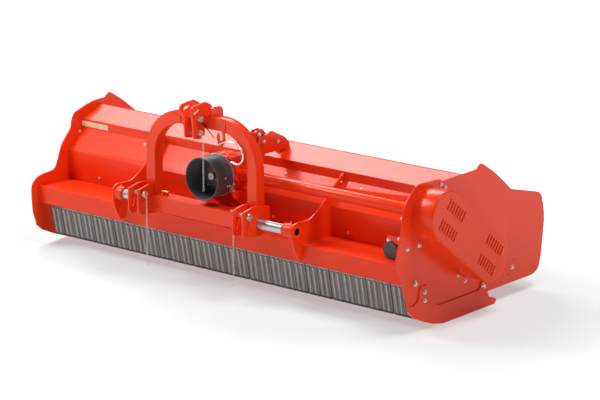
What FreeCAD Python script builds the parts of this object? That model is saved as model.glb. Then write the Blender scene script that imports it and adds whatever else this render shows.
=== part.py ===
import FreeCAD, Part
import math
import os

import Sketcher
from FreeCAD import Placement, Rotation, Vector

# Hammer knife mower for a three-point linkage, with a side-shifting headstock.
# +X runs along the cutting width towards the belt cover, -Y faces the tractor, +Z is up.
# Positions in the tables are measured from the middle of the working width, the front of
# the lower box and the ground; everything is then moved so that the origin is the middle
# of the bounding box on the ground.

doc = FreeCAD.newDocument("HammerKnifeMower")
sheet = doc.addObject("Spreadsheet::Sheet", "Sizes")
VALUES = {}


def cell(alias, number):
    row = len(VALUES) + 1
    VALUES[alias] = float(number)
    sheet.set("A%d" % row, alias)
    sheet.set("B%d" % row, repr(round(float(number), 4)))
    sheet.setAlias("B%d" % row, alias)
    return alias


def val(item):
    return VALUES[item] if isinstance(item, str) else float(item)


# ---------------------------------------------------------------- driving dimensions (mm)
for alias, number in (
    # along the width
    ("plate_left_inner", -1565.5),
    ("plate_right_inner", 1555.5),
    ("plate_thick", 10.0),
    ("rib_left", -806.0),
    ("rib_right", 704.0),
    ("rib_thick", 12.0),
    ("head_mid", -70.0),
    ("gearbox_mid", -20.0),
    ("cover_depth", 160.0),
    # sheet gauges
    ("shell_gauge", 6.0),
    ("box_gauge", 5.0),
    ("cover_gauge", 4.0),
    ("cover_round", 10.0),
    # rotor
    ("rotor_back", 612.0),
    ("rotor_high", 385.0),
    ("drum_radius", 85.0),
    ("hammer_tip", 285.0),
    ("stub_radius", 30.0),
    # drive
    ("drive_back", 150.0),
    ("drive_high", 728.0),
    ("tube_radius", 38.0),
    ("shaft_radius", 22.5),
    ("shaft_fit", 22.56),
    ("guard_radius", 135.0),
    # side shift
    ("bar_back", -45.0),
    ("bar_high", 502.0),
    ("bar_radius", 33.0),
    ("bar_fit", 33.06),
    ("bush_radius", 44.0),
    ("beam_side", 100.0),
    ("hub_radius", 66.0),
    ("collar_radius", 27.0),
    ("collar_fit", 27.3),
    ("ram_back", 85.0),
    ("ram_high", 455.0),
    ("ram_radius", 29.0),
    ("rod_radius", 15.0),
    ("rod_fit", 15.06),
    # linkage points
    ("pin_back", -160.0),
    ("pin_high", 572.0),
    ("pin_radius", 14.0),
    ("clevis_half", 440.0),
    ("clevis_gap", 70.0),
    ("clevis_plate", 12.0),
    ("top_pin_back", -112.0),
    ("top_pin_high", 1120.0),
    ("top_pin_radius", 12.7),
    # flap curtain and rear door
    ("flap_back", 110.0),
    ("flap_high", 270.0),
    ("flap_rod", 9.0),
    ("flap_rod_fit", 9.06),
    ("flap_tube", 19.0),
    ("door_back", 1008.0),
    ("door_high", 700.0),
    ("door_rod", 8.0),
    ("door_rod_fit", 8.06),
    ("door_knuckle", 15.0),
    # extents used for the origin
    ("extent_left", -1611.5),
    ("extent_right", 1725.5),
    ("extent_front", -205.0),
    ("extent_rear", 1385.0),
):
    cell(alias, number)

SHIFT = Vector(
    -(VALUES["extent_left"] + VALUES["extent_right"]) / 2,
    -(VALUES["extent_front"] + VALUES["extent_rear"]) / 2,
    0.0,
)
cell("shift_x", SHIFT.x)
cell("shift_y", SHIFT.y)

NODES = []


def body(name):
    b = doc.addObject("PartDesign::Body", name + "_body")
    b.Label = name
    NODES.append((name, b))
    return b


def at(obj, x, y, z, rotation=None):
    """Places a sub-part; aliases stay bound to the sheet."""
    obj.Placement = Placement(
        Vector(val(x) + SHIFT.x, val(y) + SHIFT.y, val(z)), rotation or Rotation()
    )
    for axis, item, shift in (("x", x, "shift_x"), ("y", y, "shift_y"), ("z", z, None)):
        if isinstance(item, str):
            text = "Sizes." + item + (" + Sizes." + shift if shift else "")
            obj.setExpression("Placement.Base." + axis, text)


def origin_plane(b, role):
    for feature in b.Origin.OriginFeatures:
        if feature.Role == role:
            return feature


def sketch_on(b, role, name):
    sk = b.newObject("Sketcher::SketchObject", b.Label + "_" + name)
    sk.AttachmentSupport = [(origin_plane(b, role), "")]
    sk.MapMode = "FlatFace"
    return sk


def polygon(sk, label, points):
    """A closed outline whose every corner is held by a cell of the sheet."""
    first = sk.GeometryCount
    n = len(points)
    corners = [Vector(p[0], p[1], 0) for p in points]
    for i in range(n):
        sk.addGeometry(Part.LineSegment(corners[i], corners[(i + 1) % n]), False)
    for i in range(n):
        sk.addConstraint(
            Sketcher.Constraint("Coincident", first + i, 2, first + (i + 1) % n, 1)
        )
    for i, p in enumerate(points):
        for kind, k in (("DistanceX", 0), ("DistanceY", 1)):
            alias = cell("%s_%s%d" % (label, "uv"[k], i + 1), p[k])
            c = sk.addConstraint(
                Sketcher.Constraint(kind, -1, 1, first + i, 1, float(p[k]))
            )
            sk.setExpression("Constraints[%d]" % c, "Sizes." + alias)


def smooth(sk, points):
    """A closed outline whose corners are rounded as far as their two edges allow.

    A point may carry a third value, the largest radius of its corner; 0 keeps it sharp.
    """
    n = len(points)
    runs = []
    for i in range(n):
        p = Vector(points[i][0], points[i][1], 0)
        before = Vector(points[i - 1][0], points[i - 1][1], 0)
        after = Vector(points[(i + 1) % n][0], points[(i + 1) % n][1], 0)
        d1, d2 = (p - before), (after - p)
        room = 0.46 * min(d1.Length, d2.Length)
        d1.normalize()
        d2.normalize()
        turn_angle = math.acos(max(-1.0, min(1.0, d1.dot(d2))))
        most = points[i][2] if len(points[i]) > 2 else 400.0
        if turn_angle < 0.01 or most == 0:
            runs.append((p, None, p))
            continue
        radius = min(most, room / math.tan(turn_angle / 2))
        back = radius * math.tan(turn_angle / 2)
        start, end = p - d1 * back, p + d2 * back
        bisector = (d2 - d1).normalize()
        centre = p + bisector * (radius / math.cos(turn_angle / 2))
        runs.append((start, centre - bisector * radius, end))
    first = sk.GeometryCount
    for i in range(n):
        start, middle, end = runs[i]
        if middle is not None:
            sk.addGeometry(Part.Arc(start, middle, end), False)
        following = runs[(i + 1) % n][0]
        if (following - end).Length > 1e-6:
            sk.addGeometry(Part.LineSegment(end, following), False)
    return first


def circle(sk, u, v, radius):
    g = sk.addGeometry(
        Part.Circle(Vector(u, v, 0), Vector(0, 0, 1), val(radius)), False
    )
    c = sk.addConstraint(Sketcher.Constraint("Radius", g, val(radius)))
    if isinstance(radius, str):
        sk.setExpression("Constraints[%d]" % c, "Sizes." + radius)
    if u == 0 and v == 0:
        sk.addConstraint(Sketcher.Constraint("Coincident", g, 3, -1, 1))
    else:
        sk.addConstraint(Sketcher.Constraint("DistanceX", -1, 1, g, 3, float(u)))
        sk.addConstraint(Sketcher.Constraint("DistanceY", -1, 1, g, 3, float(v)))


def slot(sk, u1, v1, u2, v2, radius):
    """A long hole with round ends between two centres."""
    a, b = Vector(u1, v1, 0), Vector(u2, v2, 0)
    along = (b - a).normalize() * radius
    side = Vector(-along.y, along.x, 0)
    sk.addGeometry(Part.LineSegment(a + side, b + side), False)
    sk.addGeometry(Part.Arc(b + side, b + along, b - side), False)
    sk.addGeometry(Part.LineSegment(b - side, a - side), False)
    sk.addGeometry(Part.Arc(a - side, a - along, a + side), False)


def pad(b, sk, length, reverse=False):
    p = b.newObject("PartDesign::Pad", sk.Name + "_pad")
    p.Profile = sk
    p.Length = val(length)
    if isinstance(length, str):
        p.setExpression("Length", "Sizes." + length)
    p.Reversed = reverse
    sk.Visibility = False
    b.Tip = p
    return p


def pocket(b, sk, length, reverse=False):
    p = b.newObject("PartDesign::Pocket", sk.Name + "_pocket")
    p.Profile = sk
    p.Length = val(length)
    if isinstance(length, str):
        p.setExpression("Length", "Sizes." + length)
    p.Reversed = reverse
    b.Tip = p
    return p


def plate_yz(name, x, thick, outline, holes=(), rounded=False):
    """A flat plate across the machine: outline in Y, Z, thickness along +X."""
    b = body(name)
    sk = sketch_on(b, "YZ_Plane", "outline")
    if rounded:
        smooth(sk, outline)
    else:
        polygon(sk, name, outline)
    pad(b, sk, thick)
    if holes:
        cut = sketch_on(b, "YZ_Plane", "holes")
        for hole in holes:
            if len(hole) == 3:
                circle(cut, *hole)
            else:
                slot(cut, *hole)
        pocket(b, cut, thick, reverse=True)
    at(b, x, 0, 0)
    b.setExpression("Placement.Base.y", "Sizes.shift_y")
    return b


def strip_outline(line, gauge):
    """Closed outline of a bent sheet: the line, and the line moved to its left by gauge."""
    moved = []
    for i, p in enumerate(line):
        normals = []
        for a, c in ((i - 1, i), (i, i + 1)):
            if 0 <= a and c < len(line):
                dy, dz = line[c][0] - line[a][0], line[c][1] - line[a][1]
                size = math.hypot(dy, dz)
                normals.append((-dz / size, dy / size))
        ny = sum(v[0] for v in normals)
        nz = sum(v[1] for v in normals)
        size = math.hypot(ny, nz)
        ny, nz = ny / size, nz / size
        reach = gauge / (ny * normals[0][0] + nz * normals[0][1])
        moved.append((p[0] + ny * reach, p[1] + nz * reach))
    return list(line) + moved[::-1]


def sheet_yz(name, x0, x1, line, gauge):
    """A bent sheet that runs along the width from x0 to x1."""
    b = body(name)
    sk = sketch_on(b, "YZ_Plane", "outline")
    polygon(sk, name, strip_outline(line, val(gauge)))
    pad(b, sk, cell(name + "_long", val(x1) - val(x0)))
    at(b, x0, 0, 0)
    b.setExpression("Placement.Base.y", "Sizes.shift_y")
    return b


def round_x(name, x, length, y, z, radius, bore=None):
    """A round bar or tube along the width."""
    b = body(name)
    sk = sketch_on(b, "YZ_Plane", "section")
    circle(sk, 0, 0, radius)
    if bore:
        circle(sk, 0, 0, bore)
    pad(b, sk, length)
    at(b, x, y, z)
    return b


def solid(name, kind, placed, **sizes):
    """A plain primitive; placed is the position of its own origin."""
    obj = doc.addObject(kind, name)
    for key, item in sizes.items():
        setattr(obj, key, val(item))
        if isinstance(item, str):
            obj.setExpression(key, "Sizes." + item)
    obj.Placement = placed
    return obj


def place(x, y, z, rotation=None):
    return Placement(
        Vector(val(x) + SHIFT.x, val(y) + SHIFT.y, val(z)), rotation or Rotation()
    )


ALONG_X = Rotation(Vector(0, 1, 0), 90)
ALONG_Y = Rotation(Vector(1, 0, 0), -90)


def boxed(name, x0, x1, y0, y1, z0, z1):
    return solid(
        name,
        "Part::Box",
        place(x0, y0, z0),
        Length=x1 - x0,
        Width=y1 - y0,
        Height=z1 - z0,
    )


def bar(name, x0, x1, y, z, radius):
    return solid(
        name,
        "Part::Cylinder",
        place(x0, y, z, ALONG_X),
        Radius=radius,
        Height=val(x1) - val(x0),
    )


def bar_y(name, x, y0, y1, z, radius):
    return solid(
        name,
        "Part::Cylinder",
        place(x, y0, z, ALONG_Y),
        Radius=radius,
        Height=y1 - y0,
    )


def fuse(name, pieces, label=None):
    f = doc.addObject("Part::MultiFuse", name)
    f.Shapes = pieces
    f.Refine = True
    if label:
        f.Label = label
        NODES.append((label, f))
    return f


def cut(name, base, tool, label=None):
    f = doc.addObject("Part::Cut", name)
    f.Base = base
    f.Tool = tool
    if label:
        f.Label = label
        NODES.append((label, f))
    return f


def trim(label, obj, tool):
    """The same sub-part with the tool's shape taken out of it."""
    NODES[:] = [n for n in NODES if n[1] is not obj]
    return cut(label + "_trimmed", obj, tool, label)


def keep(label, obj):
    obj.Label = label
    NODES.append((label, obj))
    return obj


# ---------------------------------------------------------------- outlines in Y, Z (mm)
LIP_FOOT = (424.0, 738.0)
LIP_TOP = (420.0, 795.0)
TOP_REAR = (604.0, 861.0)
WALL_BEND = (292.0, 598.0)
WALL_FOOT = (305.0, 404.0)
DOOR_EDGE = (985.0, 699.0)

HOOD_LINE = [WALL_FOOT, WALL_BEND, LIP_FOOT, LIP_TOP, TOP_REAR]
ROOF_LINE = [TOP_REAR, (720.0, 812.0), DOOR_EDGE]
BOX_LINE = [(84.0, 298.0), (0.0, 298.0), (0.0, 412.0), WALL_FOOT]
DOOR_LINE = [(1030.0, 690.0), (1300.0, 612.0), (1362.0, 430.0), (1322.0, 130.0)]

SHOE_TOP = [(-16.0, 151.0), (30.0, 111.0), (132.0, 64.0), (215.0, 34.0), (320.0, 13.0)]
REAR_EDGE = [
    (784.0, 13.0, 0.0), (784.0, 95.0, 12.0), (1274.0, 95.0), (1331.0, 119.0), (1359.0, 202.0),
    (1385.0, 428.0, 0.0), (1382.0, 496.0), (1350.0, 606.0), (1317.0, 628.0), (1022.0, 704.0, 30.0),
    (927.0, 781.0), (838.0, 849.0), (741.0, 910.0), (698.0, 933.0, 14.0), (672.0, 915.0, 10.0),
    (655.0, 901.0),
]
LEFT_FRONT = [
    (532.0, 899.0), (354.0, 847.0), (327.0, 797.0), (323.0, 750.0), (226.0, 649.0),
    (196.0, 561.0), (162.0, 497.0), (119.0, 486.0), (10.0, 481.0), (-61.0, 433.0),
    (-62.0, 354.0), (-56.0, 247.0), (-40.0, 194.0),
]
RIGHT_FRONT = [
    (310.0, 892.0, 0.0), (281.0, 914.0, 6.0), (84.0, 922.0), (49.0, 919.0), (-10.0, 871.0),
    (-54.0, 824.0), (-82.0, 755.0), (-105.0, 630.0), (-136.0, 531.0), (-150.0, 462.0),
    (-99.0, 388.0), (-74.0, 302.0), (-27.0, 183.0),
]
RIB = [
    (-92.0, 502.0), (-80.0, 548.0), (-45.0, 560.0), (77.0, 555.0), (144.0, 582.0),
    (200.0, 625.0), (251.0, 659.0), (308.0, 715.0), (395.0, 778.0, 20.0),
    (418.0, 791.0, 0.0), (420.0, 739.0, 0.0), (287.0, 599.0, 0.0), (300.0, 411.0, 0.0),
    (-0.5, 413.0, 0.0), (-0.5, 318.0, 0.0), (-22.0, 316.0, 12.0), (-56.0, 367.0),
    (-84.0, 440.0),
]
SHOE = [
    (-16.0, 139.0, 0.0), (30.0, 99.0, 0.0), (132.0, 52.0, 0.0), (215.0, 22.0, 0.0),
    (320.0, 0.0, 0.0), (850.0, 0.0, 0.0), (867.0, 14.0), (867.0, 29.0), (834.0, 47.0),
    (791.0, 58.0), (784.0, 85.0), (742.0, 108.0), (738.0, 172.0, 8.0), (706.0, 172.0, 8.0),
    (700.0, 134.0), (668.0, 126.0), (259.0, 126.0), (205.0, 160.0), (160.0, 282.0, 20.0),
    (84.0, 282.0, 20.0), (72.0, 206.0), (30.0, 177.0), (-25.0, 183.0, 0.0),
]
SHOE_LINE = [
    (-16.0, 139.0), (30.0, 99.0), (132.0, 52.0), (215.0, 22.0), (320.0, 0.0),
    (845.0, 0.0),
]

LEFT = VALUES["plate_left_inner"]
RIGHT = VALUES["plate_right_inner"]
THICK = VALUES["plate_thick"]
RIB_L, RIB_R, RIB_T = VALUES["rib_left"], VALUES["rib_right"], VALUES["rib_thick"]
ROTOR_Y, ROTOR_Z = VALUES["rotor_back"], VALUES["rotor_high"]
DRIVE_Y, DRIVE_Z = VALUES["drive_back"], VALUES["drive_high"]
HEAD = VALUES["head_mid"]
GEAR = VALUES["gearbox_mid"]

# ---------------------------------------------------------------- hood and side plates
PLATE_HOLES = [
    # y, z, radius
    (976.0, 192.0, 5.0), (1007.0, 153.0, 5.0), (951.0, 156.0, 5.0), (927.0, 120.0, 5.0),
    (1049.0, 243.0, 5.0),
]
hood = sheet_yz("hood_shell", "plate_left_inner", RIGHT, HOOD_LINE, "shell_gauge")
roof = sheet_yz("roof_sheet", "plate_left_inner", RIGHT, ROOF_LINE, "shell_gauge")
for label, x0, x1 in (
    ("front_box_left", LEFT, RIB_L + RIB_T / 2),
    ("front_box_middle", RIB_L + RIB_T / 2, RIB_R + RIB_T / 2),
    ("front_box_right", RIB_R + RIB_T / 2, RIGHT),
):
    folded = sheet_yz(label, x0, x1, BOX_LINE, -VALUES["box_gauge"])
    trim(label, folded, hood)

left_plate = plate_yz(
    "end_plate_left",
    LEFT - THICK,
    "plate_thick",
    SHOE_TOP + REAR_EDGE + LEFT_FRONT,
    [(ROTOR_Y, ROTOR_Z, 34.0)] + PLATE_HOLES,
    rounded=True,
)
right_plate = plate_yz(
    "end_plate_right",
    "plate_right_inner",
    "plate_thick",
    SHOE_TOP[:-1] + [(310.0, 15.0, 0.0)] + RIGHT_FRONT,
    [(DRIVE_Y, DRIVE_Z, 30.0), (39.0, 621.0, 6.0)],
    rounded=True,
)
plate_yz(
    "side_plate_right",
    "plate_right_inner",
    "plate_thick",
    [(310.0, 15.0, 0.0), (320.0, 13.0)] + REAR_EDGE + [(494.0, 898.0), (310.0, 896.0, 0.0)],
    [(ROTOR_Y, ROTOR_Z, 34.0)] + PLATE_HOLES,
    rounded=True,
)

# shoes: an outer cheek and a broad runner under each end
for name, cheek_x, runner_x, inside_x, plate in (
    ("shoe_left", LEFT - THICK - 8.0, LEFT - THICK - 8.0, LEFT, left_plate),
    ("shoe_right", RIGHT + THICK, RIGHT + THICK + 8.0 - 84.0, RIGHT - 80.0, right_plate),
):
    cheek = plate_yz(name + "_cheek", cheek_x, 8.0, SHOE, rounded=True)
    runner = sheet_yz(name + "_runner", runner_x, runner_x + 84.0, SHOE_LINE, 12.0)
    NODES[:] = [n for n in NODES if n[1] not in (cheek, runner)]
    # the runner keeps clear of the flaps and lies under the end plate
    room = boxed(name + "_room", inside_x, inside_x + 80.0, -60.0, 165.0, -20.0, 320.0)
    whole = fuse(name + "_whole", [cheek, runner])
    tools = fuse(name + "_tools", [room, plate])
    cut(name + "_solid", whole, tools, name)

# ribs that carry the sliding bar, with their bushes
for side, x in (("left", "rib_left"), ("right", "rib_right")):
    rib = plate_yz(
        "rib_" + side,
        x,
        "rib_thick",
        RIB,
        [(VALUES["bar_back"], VALUES["bar_high"], "bar_radius")],
        rounded=True,
    )
    trim("rib_" + side, rib, hood)
round_x("bush_left", RIB_L + RIB_T, 60.0, "bar_back", "bar_high", "bush_radius", "bar_radius")
round_x("bush_right", RIB_R - 85.0, 85.0, "bar_back", "bar_high", "bush_radius", "bar_radius")
round_x(
    "slide_bar", RIB_L + RIB_T, cell("slide_bar_long", RIB_R - RIB_L - RIB_T - 8.0),
    "bar_back", "bar_high", "bar_radius", cell("bar_inside", 24.0),
)

# pentagonal lug plates that stand on the top panel
LUG = [
    (372.0, 982.0, 20.0), (505.0, 918.0, 40.0), (544.0, 874.0, 20.0), (545.0, 843.0, 0.0),
    (508.0, 829.5, 0.0), (500.0, 838.0, 6.0), (345.0, 843.0, 20.0), (268.0, 838.0, 14.0),
    (252.0, 915.0, 14.0), (254.0, 950.0, 14.0),
]
lug_plate = plate_yz("lug_plate", 150.0, 12.0, LUG, [(432.0, 898.0, 9.0)], rounded=True)
lug_foot = plate_yz(
    "lug_foot", 118.0, 32.0,
    [(462.0, 813.0, 0.0), (540.0, 841.0, 0.0), (540.0, 880.0, 14.0), (480.0, 880.0, 14.0)],
    rounded=True,
)
NODES[:] = [q for q in NODES if q[1] is not lug_plate and q[1] is not lug_foot]
cut("top_lug_solid", fuse("lug_whole", [lug_plate, lug_foot]), hood, "top_lug")

# ---------------------------------------------------------------- drive line
case = boxed("gear_case", GEAR - 98.0, GEAR + 98.0, 62.0, 250.0, 632.0, 824.0)
front_boss = bar_y("gear_front_boss", GEAR, 40.0, 62.0, DRIVE_Z, 75.0)
side_boss = bar("gear_side_boss", GEAR + 98.0, GEAR + 110.0, DRIVE_Y, DRIVE_Z, 70.0)
fins = [
    boxed("gear_fin_%d" % k, GEAR - 106.0, GEAR + 106.0, y, y + 8.0, 640.0, 838.0)
    for k, y in enumerate((78.0, 104.0, 130.0, 156.0, 182.0, 208.0, 234.0))
]
blank = fuse("gear_blank", [case, front_boss, side_boss] + fins)
input_bore = bar_y("gear_input_bore", GEAR, 30.0, 150.0, DRIVE_Z, "collar_fit")
cut("gear_body", blank, input_bore, "gearbox")

STAND = [
    (62.0, 622.0), (62.0, 600.0), (230.0, 470.0), (299.0, 430.0), (291.5, 598.0),
    (291.5, 622.0),
]
stand_parts = [boxed("stand_top", GEAR - 126.0, GEAR + 126.0, 62.0, 286.0, 620.0, 632.0)]
for k, x in enumerate((GEAR - 126.0, GEAR + 114.0)):
    web = plate_yz("stand_web_%d" % k, x, 12.0, STAND)
    NODES[:] = [n for n in NODES if n[1] is not web]
    stand_parts.append(web)
cut("stand", fuse("stand_whole", stand_parts), hood, "gearbox_stand")

guard = body("pto_guard")
profile = sketch_on(guard, "XY_Plane", "profile")
polygon(
    profile,
    "guard",
    [
        (135.0, -94.0), (135.0, 58.0), (131.0, 62.0), (76.0, 62.0), (76.0, 56.0),
        (128.0, 56.0), (129.5, 54.0), (129.5, -94.0),
    ],
)
turn = guard.newObject("PartDesign::Revolution", "guard_turn")
turn.Profile = profile
turn.ReferenceAxis = (profile, ["V_Axis"])
turn.Angle = 360.0
guard.Tip = turn
at(guard, "gearbox_mid", 0, "drive_high")
guard.setExpression("Placement.Base.y", "Sizes.shift_y")

fuse(
    "shaft",
    [
        bar_y("shaft_end", GEAR, -8.0, 37.0, DRIVE_Z, "shaft_radius"),
        bar_y("shaft_neck", GEAR, 37.0, 42.0, DRIVE_Z, 19.5),
        bar_y("shaft_collar", GEAR, 42.0, 142.0, DRIVE_Z, "collar_radius"),
    ],
    "pto_shaft",
)

round_x(
    "drive_tube", GEAR + 110.0, cell("drive_tube_long", RIGHT - GEAR - 110.0),
    "drive_back", "drive_high", "tube_radius",
)

# belt cover: a deep obround pan over both pulleys
SLOPE = math.atan2(385.0 - 735.0, 612.0 - 150.0)


def obround(sk, upper, lower, radius):
    side = Vector(-math.sin(SLOPE), math.cos(SLOPE), 0) * radius
    a, b = Vector(upper[0], upper[1], 0), Vector(lower[0], lower[1], 0)
    along = Vector(math.cos(SLOPE), math.sin(SLOPE), 0) * radius
    first = sk.GeometryCount
    sk.addGeometry(Part.LineSegment(a + side, b + side), False)
    sk.addGeometry(Part.Arc(b + side, b + along, b - side), False)
    sk.addGeometry(Part.LineSegment(b - side, a - side), False)
    sk.addGeometry(Part.Arc(a - side, a - along, a + side), False)
    return first


UPPER, LOWER = (150.0, 735.0), (ROTOR_Y, ROTOR_Z)
cover = body("belt_cover")
outer = sketch_on(cover, "YZ_Plane", "outer")
obround(outer, UPPER, LOWER, 157.0)
pan = pad(cover, outer, "cover_depth")
doc.recompute()
rim = [
    "Edge%d" % (k + 1)
    for k, e in enumerate(pan.Shape.Edges)
    if abs(e.CenterOfMass.x - VALUES["cover_depth"]) < 0.01
]
soft = cover.newObject("PartDesign::Fillet", "cover_rim")
soft.Base = (pan, rim)
soft.Radius = VALUES["cover_round"]
soft.setExpression("Radius", "Sizes.cover_round")
cover.Tip = soft
inner = sketch_on(cover, "YZ_Plane", "inner")
obround(inner, UPPER, LOWER, 157.0 - VALUES["cover_gauge"])
pocket(cover, inner, cell("cover_hollow", 160.0 - VALUES["cover_gauge"]), reverse=True)
slits = sketch_on(cover, "YZ_Plane", "slits")
ALONG = Vector(math.cos(SLOPE), math.sin(SLOPE), 0)
ACROSS = Vector(-math.sin(SLOPE), math.cos(SLOPE), 0)
LOUVRES = (
    # reach along the cover from the upper centre, side
    (53.0, 67.0), (53.0, -67.0), (549.0, 67.0), (549.0, -67.0),
)
for reach, side in LOUVRES:
    for k in range(-3, 4):
        mid = Vector(UPPER[0], UPPER[1], 0) + ALONG * (reach + 29.5 * k) + ACROSS * side
        corners = [
            mid + ALONG * (sa * 3.6) + ACROSS * (sb * 33.0)
            for sa, sb in ((-1, -1), (1, -1), (1, 1), (-1, 1))
        ]
        for i in range(4):
            slits.addGeometry(Part.LineSegment(corners[i], corners[(i + 1) % 4]), False)
whole_cover = cover.Tip
pocket(cover, slits, "cover_depth", reverse=True)
at(cover, RIGHT + THICK, 0, 0)
cover.setExpression("Placement.Base.y", "Sizes.shift_y")

# ---------------------------------------------------------------- rotor
DRUM_L, DRUM_R = LEFT + 30.0, RIGHT - 30.0
drum_skin = bar("drum_skin", DRUM_L, DRUM_R, ROTOR_Y, ROTOR_Z, "drum_radius")
drum_core = bar(
    "drum_core", DRUM_L + 20.0, DRUM_R - 20.0, ROTOR_Y, ROTOR_Z, cell("drum_inside", 73.0)
)
drum_parts = [
    cut("drum_tube", drum_skin, drum_core),
    bar("drum_stub_left", LEFT - THICK - 30.0, DRUM_L + 20.0, ROTOR_Y, ROTOR_Z, "stub_radius"),
    bar("drum_stub_right", DRUM_R - 20.0, RIGHT + 100.0, ROTOR_Y, ROTOR_Z, "stub_radius"),
]
PITCH = (DRUM_R - DRUM_L - 60.0) / 32.0
ROWS = (("hammers_1", 0.0, 0), ("hammers_2", 90.0, 1), ("hammers_3", 180.0, 2), ("hammers_4", 270.0, 3))
lugs = []
for row, angle, start in ROWS:
    hammers = []
    turned = Rotation(Vector(1, 0, 0), angle)
    axis = Vector(SHIFT.x, ROTOR_Y + SHIFT.y, ROTOR_Z)
    for k in range(start, 32, 4):
        x = DRUM_L + 30.0 + (k + 0.5) * PITCH
        for n, dx in enumerate((-26.0, 16.0)):
            lug = solid(
                "%s_lug_%d_%d" % (row, k, n), "Part::Box",
                Placement(axis + turned.multVec(Vector(x + dx, -28.0, 60.0)), turned),
                Length=10.0, Width=56.0, Height=95.0,
            )
            lugs.append(lug)
        shank = solid(
            "%s_shank_%d" % (row, k), "Part::Box",
            Placement(axis + turned.multVec(Vector(x - 13.0, -14.0, 104.0)), turned),
            Length=26.0, Width=28.0, Height=130.0,
        )
        blade = solid(
            "%s_blade_%d" % (row, k), "Part::Box",
            Placement(axis + turned.multVec(Vector(x - 42.0, -20.0, 225.0)), turned),
            Length=84.0, Width=40.0, Height=VALUES["hammer_tip"] - 225.0,
        )
        hammers += [shank, blade]
    fuse(row + "_solid", hammers, row)
fuse("rotor_solid", drum_parts, "rotor_drum")
cut(
    "lugs_solid",
    fuse("lugs_whole", lugs),
    bar("lugs_core", DRUM_L, DRUM_R, ROTOR_Y, ROTOR_Z, "drum_radius"),
    "hammer_lugs",
)
for side, x in (("left", LEFT - THICK - 36.0), ("right", RIGHT + THICK)):
    round_x(
        "rotor_bearing_" + side, x, 36.0, "rotor_back", "rotor_high",
        cell("bearing_radius_" + side, 78.0), cell("bearing_bore_" + side, 30.06),
    )

# ---------------------------------------------------------------- flap curtain
flap_left, flap_right = LEFT, RIGHT
round_x(
    "flap_bar", LEFT, cell("flap_bar_long", RIGHT - LEFT), "flap_back", "flap_high", "flap_rod"
)
FLAP_GROUPS = (
    # name, first flap, last flap
    ("flaps_1", 0, 7),
    ("flaps_2", 8, 15),
    ("flaps_3", 16, 23),
    ("flaps_4", 24, 31),
)
FLAP_PITCH = (RIGHT - LEFT - 40.0) / 32.0
# the gap on the right of each flap, repeated along the row
FLAP_GAPS = (9.0, 4.0, 3.0, 7.0, 3.0, 9.0, 4.0, 6.0, 3.0, 5.0, 8.0, 3.0)
lean = Rotation(Vector(1, 0, 0), 11.5)
for name, first, last in FLAP_GROUPS:
    x0 = LEFT + 20.0 + first * FLAP_PITCH + 3.0
    x1 = LEFT + 20.0 + (last + 1) * FLAP_PITCH - 3.0
    x_last = x1
    pieces = [bar(name + "_tube", x0, x1, "flap_back", "flap_high", "flap_tube")]
    for k in range(first, last + 1):
        x = LEFT + 20.0 + k * FLAP_PITCH + 3.0
        gap = FLAP_GAPS[k % len(FLAP_GAPS)] if k < last else 6.0
        flap = solid(
            "%s_plate_%d" % (name, k), "Part::Box",
            place(x, VALUES["flap_back"] - 24.0, VALUES["flap_high"] - 3.0, lean),
            Length=FLAP_PITCH - gap if k < last else x_last - x, Width=6.0, Height=214.0,
        )
        flap.Placement = Placement(
            Vector(x + SHIFT.x, VALUES["flap_back"] - 24.0 + SHIFT.y, VALUES["flap_high"] - 3.0),
            lean,
        ).multiply(Placement(Vector(0, 0, -214.0), Rotation()))
        pieces.append(flap)
    whole = fuse(name + "_whole", pieces)
    bore = bar(name + "_bore", x0 - 5.0, x1 + 5.0, "flap_back", "flap_high", "flap_rod_fit")
    cut(name + "_solid", whole, bore, name)

# ---------------------------------------------------------------- rear door
sheet_yz("rear_door", LEFT + 8.0, RIGHT - 8.0, DOOR_LINE, -VALUES["shell_gauge"])
round_x(
    "door_bar", LEFT, cell("door_bar_long", RIGHT - LEFT), "door_back", "door_high", "door_rod"
)
knuckles = []
for k, x in enumerate((-1500.0, -760.0, -40.0, 700.0, 1440.0)):
    barrel = bar("knuckle_barrel_%d" % k, x, x + 60.0, "door_back", "door_high", "door_knuckle")
    strap = solid(
        "knuckle_strap_%d" % k, "Part::Box",
        Placement(
            Vector(x + SHIFT.x, 1008.0 + SHIFT.y, 700.0), Rotation(Vector(1, 0, 0), -16.1)
        ).multiply(Placement(Vector(0, 0, -3.0), Rotation())),
        Length=60.0, Width=90.0, Height=6.0,
    )
    pair = fuse("knuckle_pair_%d" % k, [barrel, strap])
    hole = bar("knuckle_hole_%d" % k, x - 5.0, x + 65.0, "door_back", "door_high", "door_rod_fit")
    knuckles.append(cut("knuckle_%d" % k, pair, hole))
fuse("knuckles", knuckles, "door_knuckles")
brackets = []
for k, x in enumerate((-1400.0, -660.0, 60.0, 800.0, 1340.0)):
    eye = bar("eye_%d" % k, x, x + 30.0, "door_back", "door_high", "door_knuckle")
    arm = solid(
        "eye_arm_%d" % k, "Part::Box",
        Placement(
            Vector(x + SHIFT.x, 1008.0 + SHIFT.y, 700.0), Rotation(Vector(1, 0, 0), 180.0 - 23.1)
        ).multiply(Placement(Vector(0, 0, -8.0), Rotation())),
        Length=30.0, Width=30.0, Height=16.0,
    )
    both = fuse("eye_pair_%d" % k, [eye, arm])
    hole = bar("eye_hole_%d" % k, x - 5.0, x + 35.0, "door_back", "door_high", "door_rod")
    brackets.append(
        cut("eye_cut_%d" % k, cut("eye_trim_%d" % k, both, roof), hole)
    )
fuse("door_eyes_solid", brackets, "door_eyes")

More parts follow.
